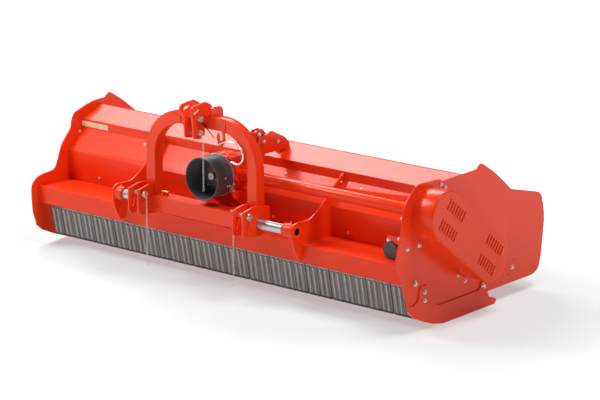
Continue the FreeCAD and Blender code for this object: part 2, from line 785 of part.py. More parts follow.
# ---------------------------------------------------------------- headstock
HALF, GAP, EAR = VALUES["clevis_half"], VALUES["clevis_gap"], VALUES["clevis_plate"]
LEG_OUT = HALF + GAP / 2
LEG_IN = HALF - GAP / 2
BEAM_L, BEAM_R = HEAD - LEG_OUT, HEAD + LEG_OUT
beam_box = boxed("beam_box", BEAM_L, BEAM_R, -95.0, 5.0, 452.0, 552.0)
hubs = [
    bar("beam_hub_left", BEAM_L, BEAM_L + GAP, "bar_back", "bar_high", "hub_radius"),
    bar("beam_hub_right", BEAM_R - GAP, BEAM_R, "bar_back", "bar_high", "hub_radius"),
]
beam_outer = fuse("beam_outer", [beam_box] + hubs)
beam_inner = boxed("beam_inner", BEAM_L + 60.0, BEAM_R - 60.0, -87.0, -3.0, 460.0, 544.0)
beam_bore = bar("beam_bore", BEAM_L - 5.0, BEAM_R + 5.0, "bar_back", "bar_high", "bar_fit")
beam_tools = fuse("beam_tools", [beam_inner, beam_bore])
cut("beam_solid", beam_outer, beam_tools, "lower_beam")

arch = body("arch")
path = sketch_on(arch, "XZ_Plane", "hoop")
ARCH_TOP, ARCH_FOOT, BIG, SMALL = 1131.0, 552.0, 310.0, 225.0


def hoop(sk, half, top, foot, radius):
    q = radius * math.sqrt(0.5)
    cx, cz = half - radius, top - radius
    pts = [
        Vector(-half, foot, 0), Vector(-half, cz, 0), Vector(-cx, top, 0),
        Vector(cx, top, 0), Vector(half, cz, 0), Vector(half, foot, 0),
    ]
    mids = (Vector(-cx - q, cz + q, 0), Vector(cx + q, cz + q, 0))
    return pts, mids


op, om = hoop(path, 464.0, ARCH_TOP, ARCH_FOOT, BIG)
ip, im = hoop(path, 389.0, ARCH_TOP - 85.0, ARCH_FOOT, SMALL)
for piece in (
    Part.LineSegment(op[0], op[1]), Part.Arc(op[1], om[0], op[2]),
    Part.LineSegment(op[2], op[3]), Part.Arc(op[3], om[1], op[4]),
    Part.LineSegment(op[4], op[5]), Part.LineSegment(op[5], ip[5]),
    Part.LineSegment(ip[5], ip[4]), Part.Arc(ip[4], im[1], ip[3]),
    Part.LineSegment(ip[3], ip[2]), Part.Arc(ip[2], im[0], ip[1]),
    Part.LineSegment(ip[1], ip[0]), Part.LineSegment(ip[0], op[0]),
):
    path.addGeometry(piece, False)
pad(arch, path, cell("arch_deep", 75.0))
at(arch, HEAD + 4.0, 20.0, 0)

EAR_OUTLINE = [
    (-205.0, 603.0, 8.0), (-103.0, 623.0, 30.0), (-20.0, 615.0, 40.0), (49.0, 600.0, 20.0),
    (49.0, 517.0, 30.0), (6.0, 440.0, 30.0), (-40.0, 424.0, 30.0), (-186.0, 438.0, 12.0),
    (-205.0, 456.0, 10.0),
]
ear_solids = []
for side, sign in (("left", -1.0), ("right", 1.0)):
    mid = HEAD + sign * HALF
    ears = []
    for n, x in enumerate((mid - GAP / 2 - EAR, mid + GAP / 2)):
        holes = [(VALUES["pin_back"], VALUES["pin_high"], "pin_radius")]
        # the bar also passes through each ear
        holes.append((VALUES["bar_back"], VALUES["bar_high"], 36.0))
        # a narrow slot for the chain below the pin
        holes.append((-150.0, 534.0, -165.0, 484.0, 7.0))
        ear = plate_yz(
            "ear_%s_%d" % (side, n), x, "clevis_plate", EAR_OUTLINE, holes, rounded=True
        )
        NODES[:] = [q for q in NODES if q[1] is not ear]
        ears.append(ear)
    inner_ear = ears[1] if sign < 0 else ears[0]
    window = boxed(
        "ear_window_" + side, mid - GAP / 2 - EAR - 1.0, mid + GAP / 2 + EAR + 1.0,
        -95.0, 5.0, 452.0, 552.0,
    )
    trimmed = cut("ear_trim_" + side, inner_ear, window)
    outer_ear = ears[0] if sign < 0 else ears[1]
    ear_solids.extend([outer_ear, trimmed])
    fuse("ears_" + side, [outer_ear, trimmed], "clevis_" + side)
    pin = bar(
        "pin_stem_" + side, mid - 66.0, mid + 66.0, "pin_back", "pin_high", "pin_radius"
    )
    head = bar("pin_head_" + side, mid + 54.0, mid + 68.0, "pin_back", "pin_high", 18.0)
    fuse("pin_" + side, [pin, head], "lower_pin_" + side)

trim("arch", arch, fuse("arch_tools", [beam_outer] + ear_solids))

TOP_EAR = [
    (-176.0, 1190.0, 12.0), (-160.0, 1206.0, 12.0), (-42.0, 1216.0, 20.0), (5.0, 1190.0, 20.0),
    (25.0, 1166.0, 14.0), (25.0, 1131.0, 0.0), (-55.0, 1131.0, 0.0), (-55.0, 1010.0, 20.0),
    (-99.0, 984.0, 20.0), (-156.0, 996.0, 16.0),
]
# the left ear is joggled outwards above the pin
LOW_EAR = [(-166.0, 1140.0, 0.0), (25.0, 1140.0, 0.0)] + TOP_EAR[5:]
HIGH_EAR = TOP_EAR[:4] + [(25.0, 1166.0, 4.0), (25.0, 1158.0, 0.0), (-168.0, 1158.0, 0.0)]
PIN_HOLES = [
    (VALUES["top_pin_back"], VALUES["top_pin_high"], "top_pin_radius"),
    (-110.0, 1028.0, "top_pin_radius"),
]
top_ears = []
for n, (x, outline, holes) in enumerate(
    (
        (HEAD - 39.0, LOW_EAR, PIN_HOLES),
        (HEAD - 65.0, HIGH_EAR, [(-138.0, 1170.0, -90.0, 1190.0, 8.0)]),
        (HEAD + 33.0, TOP_EAR, PIN_HOLES + [(-152.0, 1161.0, -110.0, 1179.0, 8.0)]),
    )
):
    ear = plate_yz("top_ear_%d" % n, x, 12.0, outline, holes, rounded=True)
    NODES[:] = [q for q in NODES if q[1] is not ear]
    top_ears.append(ear)
joggle = body("top_ear_joggle")
sk = sketch_on(joggle, "XZ_Plane", "outline")
polygon(sk, "joggle", [(-39.0, 1138.0), (-27.0, 1138.0), (-53.0, 1160.0), (-65.0, 1160.0)])
pad(joggle, sk, 190.0)
at(joggle, HEAD, 25.0, 0)
NODES[:] = [q for q in NODES if q[1] is not joggle]
top_ears.append(joggle)
fuse("top_bracket", top_ears, "upper_link_bracket")
for name, y, z in (("upper_pin", "top_pin_back", "top_pin_high"), ("spare_pin", -110.0, 1028.0)):
    stem = bar(name + "_stem", HEAD - 64.0, HEAD + 60.0, y, z, "top_pin_radius")
    head = bar(name + "_head", HEAD + 45.0, HEAD + 57.0, y, z, 17.0)
    fuse(name + "_solid", [stem, head], name)

# stiffeners either side of the upper bracket, on the arch
STIFF = [
    (-57.0, 1131.0, 0.0), (-57.0, 1181.0, 10.0), (-36.0, 1187.0, 10.0), (34.0, 1184.0, 14.0),
    (52.0, 1158.0, 12.0), (52.0, 1098.0, 6.0), (20.0, 1098.0, 0.0), (20.0, 1131.0, 0.0),
]
stiff = []
for n, x in enumerate((HEAD - 106.0, HEAD + 94.0)):
    fin = plate_yz("stiff_%d" % n, x, 12.0, STIFF, rounded=True)
    NODES[:] = [q for q in NODES if q[1] is not fin]
    stiff.append(fin)
fuse("stiffeners_solid", stiff, "arch_stiffeners")

# hose plate under the crown of the arch: a flat hook that opens upwards
HOSE = [
    (122.0, 1100.0, 0.0), (147.0, 1100.0, 0.0), (144.0, 1040.0), (148.0, 996.0, 30.0),
    (134.0, 962.0), (114.0, 936.0, 8.0), (92.0, 958.0, 20.0), (76.0, 1000.0, 30.0),
    (86.0, 1036.0, 10.0), (100.0, 1034.0, 5.0), (99.0, 1008.0, 8.0), (104.0, 990.0, 8.0),
    (122.0, 990.0, 8.0), (126.0, 1012.0, 14.0), (120.0, 1046.0, 20.0),
]
hose = body("hose_plate")
flat_hook = sketch_on(hose, "XZ_Plane", "outline")
smooth(flat_hook, HOSE)
pad(hose, flat_hook, 6.0)
at(hose, 0, -55.0, 0)
hose.setExpression("Placement.Base.x", "Sizes.shift_x")

# shaft hook: a bent rod that starts on the hose plate
hook = doc.addObject("Part::Feature", "hook_rod")
route = [
    Vector(HEAD + 165.0, -67.0, 962.0), Vector(HEAD + 240.0, -68.0, 998.0),
    Vector(HEAD + 320.0, -70.0, 992.0), Vector(HEAD + 370.0, -70.0, 950.0),
    Vector(HEAD + 372.0, -70.0, 890.0), Vector(HEAD + 330.0, -70.0, 858.0),
    Vector(HEAD + 272.0, -70.0, 868.0),
]
edges, at_point = [], route[0]
for k in range(1, len(route) - 1):
    p, q, r = route[k - 1], route[k], route[k + 1]
    d1, d2 = (q - p).normalize(), (r - q).normalize()
    turn_angle = math.acos(max(-1.0, min(1.0, d1.dot(d2))))
    back = 0.45 * min((q - p).Length, (r - q).Length)
    start, end = q - d1 * back, q + d2 * back
    rad = back / math.tan(turn_angle / 2)
    bis = (d2 - d1).normalize()
    centre = q + bis * (rad / math.cos(turn_angle / 2))
    mid_arc = centre - bis * rad
    edges.append(Part.LineSegment(at_point, start).toShape())
    edges.append(Part.Arc(start, mid_arc, end).toShape())
    at_point = end
edges.append(Part.LineSegment(at_point, route[-1]).toShape())
wire = Part.Wire(edges)
ring = Part.Wire([Part.Circle(route[0], (route[1] - route[0]), 6.0).toShape()])
hook.Shape = wire.makePipeShell([ring], True, False)
hook.Placement = Placement(Vector(SHIFT.x, SHIFT.y, 0), Rotation())
keep("shaft_hook", hook)

# side-shift ram behind the beam
ram_outer = bar("ram_outer", RIB_L + RIB_T, -210.0, "ram_back", "ram_high", "ram_radius")
ram_bore = bar("ram_bore", RIB_L + RIB_T + 40.0, -200.0, "ram_back", "ram_high", "rod_fit")
cut("ram_tube", ram_outer, ram_bore, "ram_barrel")
bar_rod = bar("ram_rod_bar", -520.0, 140.0, "ram_back", "ram_high", "rod_radius")
keep("ram_rod", bar_rod)
lug_plate = boxed("ram_lug_box", 140.0, 156.0, 5.0, 112.0, 430.0, 548.0)
keep("ram_lug", lug_plate)

# round document canister on the shelf, facing forwards
can = bar_y("canister_barrel", 1327.0, 100.0, 240.0, 463.0, 50.0)
keep("canister", can)

# ---------------------------------------------------------------- hanging pin chains
CHAINS = (
    # name, x, y, top z, length
    ("chain_left", HEAD - HALF + 75.0, -160.0, 556.0, 428.0),
    ("chain_right", HEAD + HALF - 73.0, -160.0, 556.0, 428.0),
    ("chain_top", HEAD + 81.0, -113.0, 1010.0, 328.0),
)
for name, x, y, top, length in CHAINS:
    hang = solid(
        name + "_tube", "Part::Cylinder", place(x, y, top - length), Radius=6.0, Height=length
    )
    keep(name, hang)

# ---------------------------------------------------------------- check and write
doc.recompute()
problems = []
for obj in doc.Objects:
    if "Invalid" in obj.State or "Error" in obj.State:
        problems.append("%s: %s" % (obj.Name, obj.State))
for name, obj in NODES:
    shape = obj.Shape
    if shape.isNull() or not shape.isValid() or not shape.Solids:
        problems.append("bad shape: " + name)
if problems:
    raise RuntimeError("; ".join(problems[:20]))
if len({n for n, _ in NODES}) != len(NODES):
    raise RuntimeError("a label is used twice")

os.makedirs("parts", exist_ok=True)
box = FreeCAD.BoundBox()
for name, obj in NODES:
    shape = obj.Shape
    shape.exportStep("parts/%s.step" % name)
    if not name.startswith("chain"):
        box.add(shape.BoundBox)
    print(name, len(shape.Solids), round(shape.Volume / 1000.0, 1), "cm3")
print("nodes", len(NODES), "box", box)
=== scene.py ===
import math
import random

import bmesh
import bpy
from mathutils import Matrix, Vector


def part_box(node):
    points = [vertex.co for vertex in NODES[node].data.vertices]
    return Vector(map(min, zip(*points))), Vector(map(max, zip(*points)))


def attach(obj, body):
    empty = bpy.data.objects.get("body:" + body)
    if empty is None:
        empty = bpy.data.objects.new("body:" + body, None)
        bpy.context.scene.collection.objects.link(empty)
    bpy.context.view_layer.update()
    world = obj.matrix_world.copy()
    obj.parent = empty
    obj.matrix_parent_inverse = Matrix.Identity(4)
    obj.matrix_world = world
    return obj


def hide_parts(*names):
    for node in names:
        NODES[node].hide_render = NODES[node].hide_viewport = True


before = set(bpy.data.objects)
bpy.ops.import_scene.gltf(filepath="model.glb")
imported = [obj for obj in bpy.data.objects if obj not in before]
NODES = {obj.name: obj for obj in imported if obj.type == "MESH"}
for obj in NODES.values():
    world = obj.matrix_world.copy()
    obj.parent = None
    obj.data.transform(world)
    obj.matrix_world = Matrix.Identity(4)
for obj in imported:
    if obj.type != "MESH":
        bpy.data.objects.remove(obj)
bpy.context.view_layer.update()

random.seed(7)


def V(x, y, z):
    """Drawing millimetres to the frame's metres."""
    return Vector(((x - 57.0) / 1000.0, (y - 590.0) / 1000.0, z / 1000.0))


# ---------------------------------------------------------------- camera
scene = bpy.context.scene
scene.view_settings.view_transform = "Standard"
eye = bpy.data.cameras.new("eye")
eye.lens = 165.79
eye.sensor_width = 36.0
eye.sensor_fit = "HORIZONTAL"
eye.clip_start, eye.clip_end = 0.5, 200.0
eye_obj = bpy.data.objects.new("eye", eye)
eye_obj.location = (11.1333, -13.2042, 5.0458)
eye_obj.rotation_euler = (math.radians(90.0 - 14.8535), 0.0, math.radians(39.7399))
scene.collection.objects.link(eye_obj)
scene.camera = eye_obj


# ---------------------------------------------------------------- materials
def material(name, color, rough, metal=0.0, coat=0.0, coat_rough=0.1, spec=0.5):
    m = bpy.data.materials.new(name)
    m.use_nodes = True
    nt = m.node_tree
    nt.nodes.clear()
    out = nt.nodes.new("ShaderNodeOutputMaterial")
    p = nt.nodes.new("ShaderNodeBsdfPrincipled")
    nt.links.new(p.outputs[0], out.inputs[0])
    p.inputs["Base Color"].default_value = (*color, 1.0)
    p.inputs["Roughness"].default_value = rough
    p.inputs["Metallic"].default_value = metal
    p.inputs["Coat Weight"].default_value = coat
    p.inputs["Coat Roughness"].default_value = coat_rough
    p.inputs["Specular IOR Level"].default_value = spec
    return m, nt, p


def noise(nt, scale, detail=4.0, rough=0.55, stretch=None, distortion=0.0):
    co = nt.nodes.new("ShaderNodeTexCoord")
    source = co.outputs["Object"]
    if stretch:
        mp = nt.nodes.new("ShaderNodeMapping")
        mp.inputs["Scale"].default_value = stretch
        nt.links.new(source, mp.inputs["Vector"])
        source = mp.outputs["Vector"]
    n = nt.nodes.new("ShaderNodeTexNoise")
    n.inputs["Scale"].default_value = scale
    n.inputs["Detail"].default_value = detail
    n.inputs["Roughness"].default_value = rough
    n.inputs["Distortion"].default_value = distortion
    nt.links.new(source, n.inputs["Vector"])
    return n.outputs["Fac"]


def ramp(nt, fac, stops):
    r = nt.nodes.new("ShaderNodeValToRGB")
    r.color_ramp.elements[0].position = stops[0][0]
    r.color_ramp.elements[0].color = (*stops[0][1], 1.0)
    r.color_ramp.elements[1].position = stops[-1][0]
    r.color_ramp.elements[1].color = (*stops[-1][1], 1.0)
    for pos, col in stops[1:-1]:
        e = r.color_ramp.elements.new(pos)
        e.color = (*col, 1.0)
    nt.links.new(fac, r.inputs["Fac"])
    return r.outputs["Color"]


def remap(nt, fac, lo, hi, a=0.0, b=1.0):
    r = nt.nodes.new("ShaderNodeMapRange")
    r.inputs["From Min"].default_value = a
    r.inputs["From Max"].default_value = b
    r.inputs["To Min"].default_value = lo
    r.inputs["To Max"].default_value = hi
    nt.links.new(fac, r.inputs["Value"])
    return r.outputs["Result"]


def bump(nt, p, fac, strength, distance, also=None):
    b = nt.nodes.new("ShaderNodeBump")
    b.inputs["Strength"].default_value = strength
    b.inputs["Distance"].default_value = distance
    nt.links.new(fac, b.inputs["Height"])
    if also is not None:
        nt.links.new(also, b.inputs["Normal"])
    nt.links.new(b.outputs["Normal"], p.inputs["Normal"])
    return b.outputs["Normal"]


def mix_color(nt, fac, a, b):
    m = nt.nodes.new("ShaderNodeMix")
    m.data_type = "RGBA"
    nt.links.new(fac, m.inputs[0])
    for sock, item in ((m.inputs[6], a), (m.inputs[7], b)):
        if isinstance(item, tuple):
            sock.default_value = (*item, 1.0)
        else:
            nt.links.new(item, sock)
    return m.outputs[2]


RED = (0.86, 0.046, 0.0060)
RED_DEEP = (0.80, 0.038, 0.0050)


def red_paint(name, rough=0.34, peel=0.10, coat=0.55, tint=1.0):
    m, nt, p = material(name, RED, rough, coat=coat, coat_rough=0.12, spec=0.15)
    broad = noise(nt, 1.6, 3.0, 0.5)
    col = ramp(
        nt, broad,
        [
            (0.30, tuple(c * tint for c in RED_DEEP)),
            (0.70, tuple(min(1.0, c * tint * 1.04) for c in RED)),
        ],
    )
    dust = noise(nt, 38.0, 6.0, 0.7)
    dusty = remap(nt, dust, 0.0, 0.035, 0.62, 0.86)
    nt.links.new(mix_color(nt, dusty, col, (0.86, 0.16, 0.07)), p.inputs["Base Color"])
    nt.links.new(remap(nt, noise(nt, 9.0, 5.0, 0.6), rough - 0.06, rough + 0.10), p.inputs["Roughness"])
    wavy = noise(nt, 260.0, 2.0, 0.5)
    bump(nt, p, wavy, peel, 0.0006)
    return m


M_RED = red_paint("red_paint", coat=0.24)
M_RED_SHEET = red_paint("red_sheet", rough=0.30, peel=0.06, coat=0.17)
M_RED_CAST = red_paint("red_cast", rough=0.42, peel=0.5, coat=0.22)


def steel(name, color, rough, streak=(1.0, 60.0, 60.0), depth=0.08, dark=0.75):
    m, nt, p = material(name, color, rough, metal=1.0)
    lines = noise(nt, 8.0, 6.0, 0.65, stretch=streak)
    nt.links.new(
        ramp(nt, lines, [(0.25, tuple(c * dark for c in color)), (0.75, color)]),
        p.inputs["Base Color"],
    )
    nt.links.new(remap(nt, lines, rough - 0.06, rough + 0.12), p.inputs["Roughness"])
    bump(nt, p, lines, depth, 0.0004)
    return m


M_BAR = steel("ground_steel", (0.66, 0.65, 0.65), 0.36, depth=0.04)
M_SHAFT = steel("shaft_steel", (0.40, 0.40, 0.41), 0.45, streak=(6.0, 1.0, 6.0), depth=0.1)
M_PLATE = steel("plated_steel", (0.80, 0.79, 0.77), 0.28, streak=(1.0, 1.0, 1.0), depth=0.05)
M_FORGED = steel("forged_steel", (0.17, 0.16, 0.155), 0.50, streak=(6.0, 6.0, 6.0), depth=0.6, dark=0.55)
M_ZINC = None


def zinc(name, color=(0.74, 0.71, 0.63), rough=0.30):
    m, nt, p = material(name, color, rough, metal=0.9)
    cells = nt.nodes.new("ShaderNodeTexVoronoi")
    cells.inputs["Scale"].default_value = 140.0
    co = nt.nodes.new("ShaderNodeTexCoord")
    nt.links.new(co.outputs["Object"], cells.inputs["Vector"])
    nt.links.new(
        ramp(nt, cells.outputs["Distance"], [(0.1, color), (0.9, tuple(c * 0.8 for c in color))]),
        p.inputs["Base Color"],
    )
    nt.links.new(remap(nt, noise(nt, 60.0, 4.0), rough - 0.05, rough + 0.15), p.inputs["Roughness"])
    bump(nt, p, noise(nt, 420.0, 2.0), 0.12, 0.0003)
    return m


M_ZINC = zinc("zinc_plate")
M_BRASS = zinc("yellow_zinc", (0.83, 0.66, 0.30), 0.32)


def flap_steel(name):
    m, nt, p = material(name, (0.34, 0.32, 0.31), 0.42, metal=0.25, spec=0.5)
    runs = noise(nt, 7.0, 6.0, 0.7, stretch=(9.0, 9.0, 0.9))
    spots = noise(nt, 30.0, 5.0, 0.7)
    col = ramp(nt, runs, [(0.28, (0.205, 0.187, 0.178)), (0.72, (0.350, 0.325, 0.312))])
    soil = remap(nt, spots, 0.0, 0.16, 0.55, 0.80)
    nt.links.new(mix_color(nt, soil, col, (0.140, 0.126, 0.118)), p.inputs["Base Color"])
    nt.links.new(remap(nt, spots, 0.34, 0.62), p.inputs["Roughness"])
    bump(nt, p, runs, 0.18, 0.0006)
    return m


M_FLAP = flap_steel("flap_steel")
M_FLAP_DARK = steel("flap_hem", (0.13, 0.12, 0.115), 0.55, streak=(3.0, 3.0, 3.0), depth=0.3)
# painted highlight: bright steel laid on the rib crests and top edges of the flaps
M_FLAP_HIGHLIGHT = steel("flap_painted_highlight", (0.70, 0.67, 0.66), 0.30, streak=(2.0, 2.0, 0.6), depth=0.1)


def plastic(name, color, rough, grain):
    m, nt, p = material(name, color, rough, spec=0.45)
    fine = noise(nt, 330.0, 3.0, 0.6)
    broad = noise(nt, 6.0, 3.0, 0.5)
    nt.links.new(
        ramp(nt, broad, [(0.3, tuple(c * 0.75 for c in color)), (0.7, tuple(c * 1.25 for c in color))]),
        p.inputs["Base Color"],
    )
    nt.links.new(remap(nt, broad, rough - 0.08, rough + 0.08), p.inputs["Roughness"])
    bump(nt, p, fine, grain, 0.0004)
    return m


M_LABEL = plastic("cream_strip", (0.72, 0.62, 0.42), 0.5, 0.1)
M_BLACK = plastic("black_plastic", (0.066, 0.063, 0.069), 0.46, 0.35)
# painted shade: near-black sheet put behind the gaps between flaps
M_SLOT_SHADE = plastic("black_painted_shade", (0.018, 0.018, 0.018), 0.6, 0.5)
# painted shade: near-black material put inside slits, holes and bores
M_SHADE_BLACK = plastic("painted_shade_black", (0.004, 0.004, 0.004), 0.9, 0.2)
M_BLACK_METAL = steel("blackened_steel", (0.07, 0.07, 0.07), 0.42, streak=(3.0, 3.0, 3.0), depth=0.3)


# ---------------------------------------------------------------- mesh tools
class Build:
    """Gathers many small forms into one mesh piece."""

    def __init__(self, name, body, mats, slot=None):
        self.name, self.body, self.mats, self.slot = name, body, mats, slot
        self.v, self.f, self.m = [], [], []

    def add(self, verts, faces, mat=0):
        base = len(self.v)
        self.v.extend(Vector(p) for p in verts)
        self.f.extend([base + i for i in face] for face in faces)
        self.m.extend([mat] * len(faces))

    def ring_stack(self, rings, mat=0, close=True):
        """rings: lists of points, all the same length."""
        n = len(rings[0])
        verts = [p for r in rings for p in r]
        faces = []
        for i in range(len(rings) - 1):
            for k in range(n):
                a, b = i * n + k, i * n + (k + 1) % n
                faces.append([a, b, b + n, a + n])
        if close:
            faces.append(list(range(n))[::-1])
            faces.append([(len(rings) - 1) * n + k for k in range(n)])
        self.add(verts, faces, mat)

    def lathe(self, profile, origin, axis, seg=20, mat=0, start=0.0):
        """profile: (along, radius) pairs in mm; origin in the frame; axis a direction."""
        axis = Vector(axis).normalized()
        side = axis.orthogonal().normalized()
        up = axis.cross(side)
        rings = []
        for along, radius in profile:
            r = max(radius, 1e-3) / 1000.0
            centre = Vector(origin) + axis * (along / 1000.0)
            rings.append([
                centre + side * (r * math.cos(start + 2 * math.pi * k / seg))
                + up * (r * math.sin(start + 2 * math.pi * k / seg))
                for k in range(seg)
            ])
        self.ring_stack(rings, mat)

    def loop(self, profile, origin, axis, seg=48, mat=0):
        """A closed profile turned into a ring; profile (along, radius) in mm."""
        axis = Vector(axis).normalized()
        side = axis.orthogonal().normalized()
        up = axis.cross(side)
        n = len(profile)
        verts, faces = [], []
        for k in range(seg):
            t = 2 * math.pi * k / seg
            d = side * math.cos(t) + up * math.sin(t)
            for along, radius in profile:
                verts.append(Vector(origin) + axis * (along / 1000.0) + d * (radius / 1000.0))
        for k in range(seg):
            for i in range(n):
                a, b = k * n + i, k * n + (i + 1) % n
                c, d = ((k + 1) % seg) * n + (i + 1) % n, ((k + 1) % seg) * n + i
                faces.append([a, b, c, d])
        self.add(verts, faces, mat)

    def prism(self, outline, origin, u, v, depth, mat=0, chamfer=0.0):
        """outline (mm) in the u, v directions, pushed along u x v by depth mm."""
        u, v = Vector(u).normalized(), Vector(v).normalized()
        w = u.cross(v)
        rings = []

        def ring(points, d):
            return [Vector(origin) + u * (a / 1000.0) + v * (b / 1000.0) + w * (d / 1000.0) for a, b in points]

        if chamfer > 0:
            cx = sum(a for a, _ in outline) / len(outline)
            cy = sum(b for _, b in outline) / len(outline)
            small = []
            for a, b in outline:
                l = math.hypot(a - cx, b - cy) or 1.0
                small.append((a - (a - cx) / l * chamfer, b - (b - cy) / l * chamfer))
            rings = [ring(small, 0), ring(outline, chamfer * math.copysign(1, depth)),
                     ring(outline, depth - chamfer * math.copysign(1, depth)), ring(small, depth)]
        else:
            rings = [ring(outline, 0), ring(outline, depth)]
        self.ring_stack(rings, mat)

    def box(self, x0, x1, y0, y1, z0, z1, mat=0, r=1.5):
        """A box in drawing mm with softened edges."""
        r = min(r, (x1 - x0) / 2.2, (y1 - y0) / 2.2, (z1 - z0) / 2.2)
        rings = []
        for z, k in ((z0, r), (z0 + r, 0), (z1 - r, 0), (z1, r)):
            pts = []
            for sx, sy, order in ((x0, y0, 0), (x1, y0, 1), (x1, y1, 0), (x0, y1, 1)):
                ix = r if sx == x0 else -r
                iy = r if sy == y0 else -r
                kx = k if sx == x0 else -k
                ky = k if sy == y0 else -k
                a = V(sx + kx, sy + ky + iy, z)
                b = V(sx + kx + ix, sy + ky, z)
                pts.extend([a, b] if order == 0 else [b, a])
            rings.append(pts)
        self.ring_stack(rings, mat)

    def tube(self, pts, radius, seg=10, mat=0, closed=False):
        """A round wire through points in the frame; radius in mm, one or one each."""
        pts = [Vector(p) for p in pts]
        n = len(pts)
        radii = radius if isinstance(radius, (list, tuple)) else [radius] * n
        rings, ref = [], None
        for i, p in enumerate(pts):
            if closed:
                t = (pts[(i + 1) % n] - pts[i - 1]).normalized()
            else:
                t = (pts[min(i + 1, n - 1)] - pts[max(i - 1, 0)]).normalized()
            if ref is None:
                ref = t.orthogonal().normalized()
            ref = (ref - t * ref.dot(t)).normalized()
            up = t.cross(ref)
            r = radii[i] / 1000.0
            rings.append([p + ref * (r * math.cos(2 * math.pi * k / seg)) + up * (r * math.sin(2 * math.pi * k / seg)) for k in range(seg)])
        if closed:
            # close by the nearest vertex so that the tube doesn't twist
            first, last = rings[0], rings[-1]
            best = min(range(seg), key=lambda s: (first[s] - last[0]).length)
            rings.append(first[best:] + first[:best])
            self.ring_stack(rings, mat, close=False)
        else:
            self.ring_stack(rings, mat)

    def bead(self, a, b, size=5.0, mat=0, pitch=5.0, out=None):
        """A weld bead between two drawing points."""
        a, b = V(*a), V(*b)
        length = (b - a).length * 1000.0
        count = max(4, int(length / pitch * 2))
        pts, radii = [], []
        for i in range(count + 1):
            t = i / count
            p = a.lerp(b, t)
            pts.append(p + Vector((random.uniform(-1, 1), random.uniform(-1, 1), random.uniform(-1, 1))) * 0.0004)
            radii.append(size * (0.78 if i in (0, count) else (1.0 if i % 2 else 0.84)) * random.uniform(0.93, 1.05))
        self.tube(pts, radii, 7, mat)

    def hexbolt(self, origin, axis, size=18.0, height=8.0, washer=True, shank=0.0, mat=0, nut=False):
        """A hexagon head (across flats size) on its washer; it stands on origin, along axis."""
        up = 0.0
        if washer:
            self.lathe([(-0.5, size * 0.62), (0.4, size * 0.84), (2.2, size * 0.86), (2.8, size * 0.80), (2.8, size * 0.3)], origin, axis, 28, mat)
            up = 2.8
        r = size / 2 / math.cos(math.pi / 6)
        turn = random.uniform(0, 1.0)
        self.lathe([(up - 0.2, r * 0.96), (up + 0.8, r), (up + height - 1.6, r), (up + height - 0.3, r * 0.88), (up + height, r * 0.8), (up + height - 0.4, r * 0.2)], origin, axis, 6, mat, start=turn)
        if nut:
            self.lathe([(up + height - 0.6, size * 0.27), (up + height + 4.0, size * 0.27), (up + height + 4.6, size * 0.22)], origin, axis, 18, mat)

    def capbolt(self, origin, axis, size=20.0, height=6.0, mat=0):
        """A round-headed coach bolt."""
        prof = [(-0.5, size / 2), (0.6, size / 2)]
        for k in range(1, 7):
            t = k / 6 * math.pi / 2
            prof.append((0.6 + height * math.sin(t), size / 2 * math.cos(t)))
        self.lathe(prof, origin, axis, 24, mat)

    def done(self, bevel=0.0, angle=35.0):
        mesh = bpy.data.meshes.new(self.name)
        mesh.from_pydata([tuple(p) for p in self.v], [], self.f)
        for m in self.mats:
            mesh.materials.append(m)
        mesh.polygons.foreach_set("material_index", self.m)
        bm = bmesh.new()
        bm.from_mesh(mesh)
        bmesh.ops.recalc_face_normals(bm, faces=bm.faces)
        bm.to_mesh(mesh)
        bm.free()
        mesh.shade_smooth()
        mesh.set_sharp_from_angle(angle=math.radians(angle))
        obj = bpy.data.objects.new(self.name, mesh)
        scene.collection.objects.link(obj)
        if bevel > 0:
            mod = obj.modifiers.new("bevel", "BEVEL")
            mod.width, mod.segments, mod.limit_method = bevel / 1000.0, 2, "ANGLE"
            mod.angle_limit = math.radians(38)
        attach(obj, self.body)
        return obj


def arc(cx, cy, r, a0, a1, n):
    """Points of an arc, degrees."""
    return [(cx + r * math.cos(math.radians(a0 + (a1 - a0) * k / n)), cy + r * math.sin(math.radians(a0 + (a1 - a0) * k / n))) for k in range(n + 1)]


X, Y, Z = Vector((1, 0, 0)), Vector((0, 1, 0)), Vector((0, 0, 1))
HEAD, GEAR, HALF = -70.0, -20.0, 440.0
LEFT, RIGHT, THICK = -1565.5 + 10.0, 1555.5, 10.0
lo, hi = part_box("end_plate_left")
LEFT = hi.x * 1000 + 57.0
lo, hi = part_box("end_plate_right")
RIGHT = lo.x * 1000 + 57.0


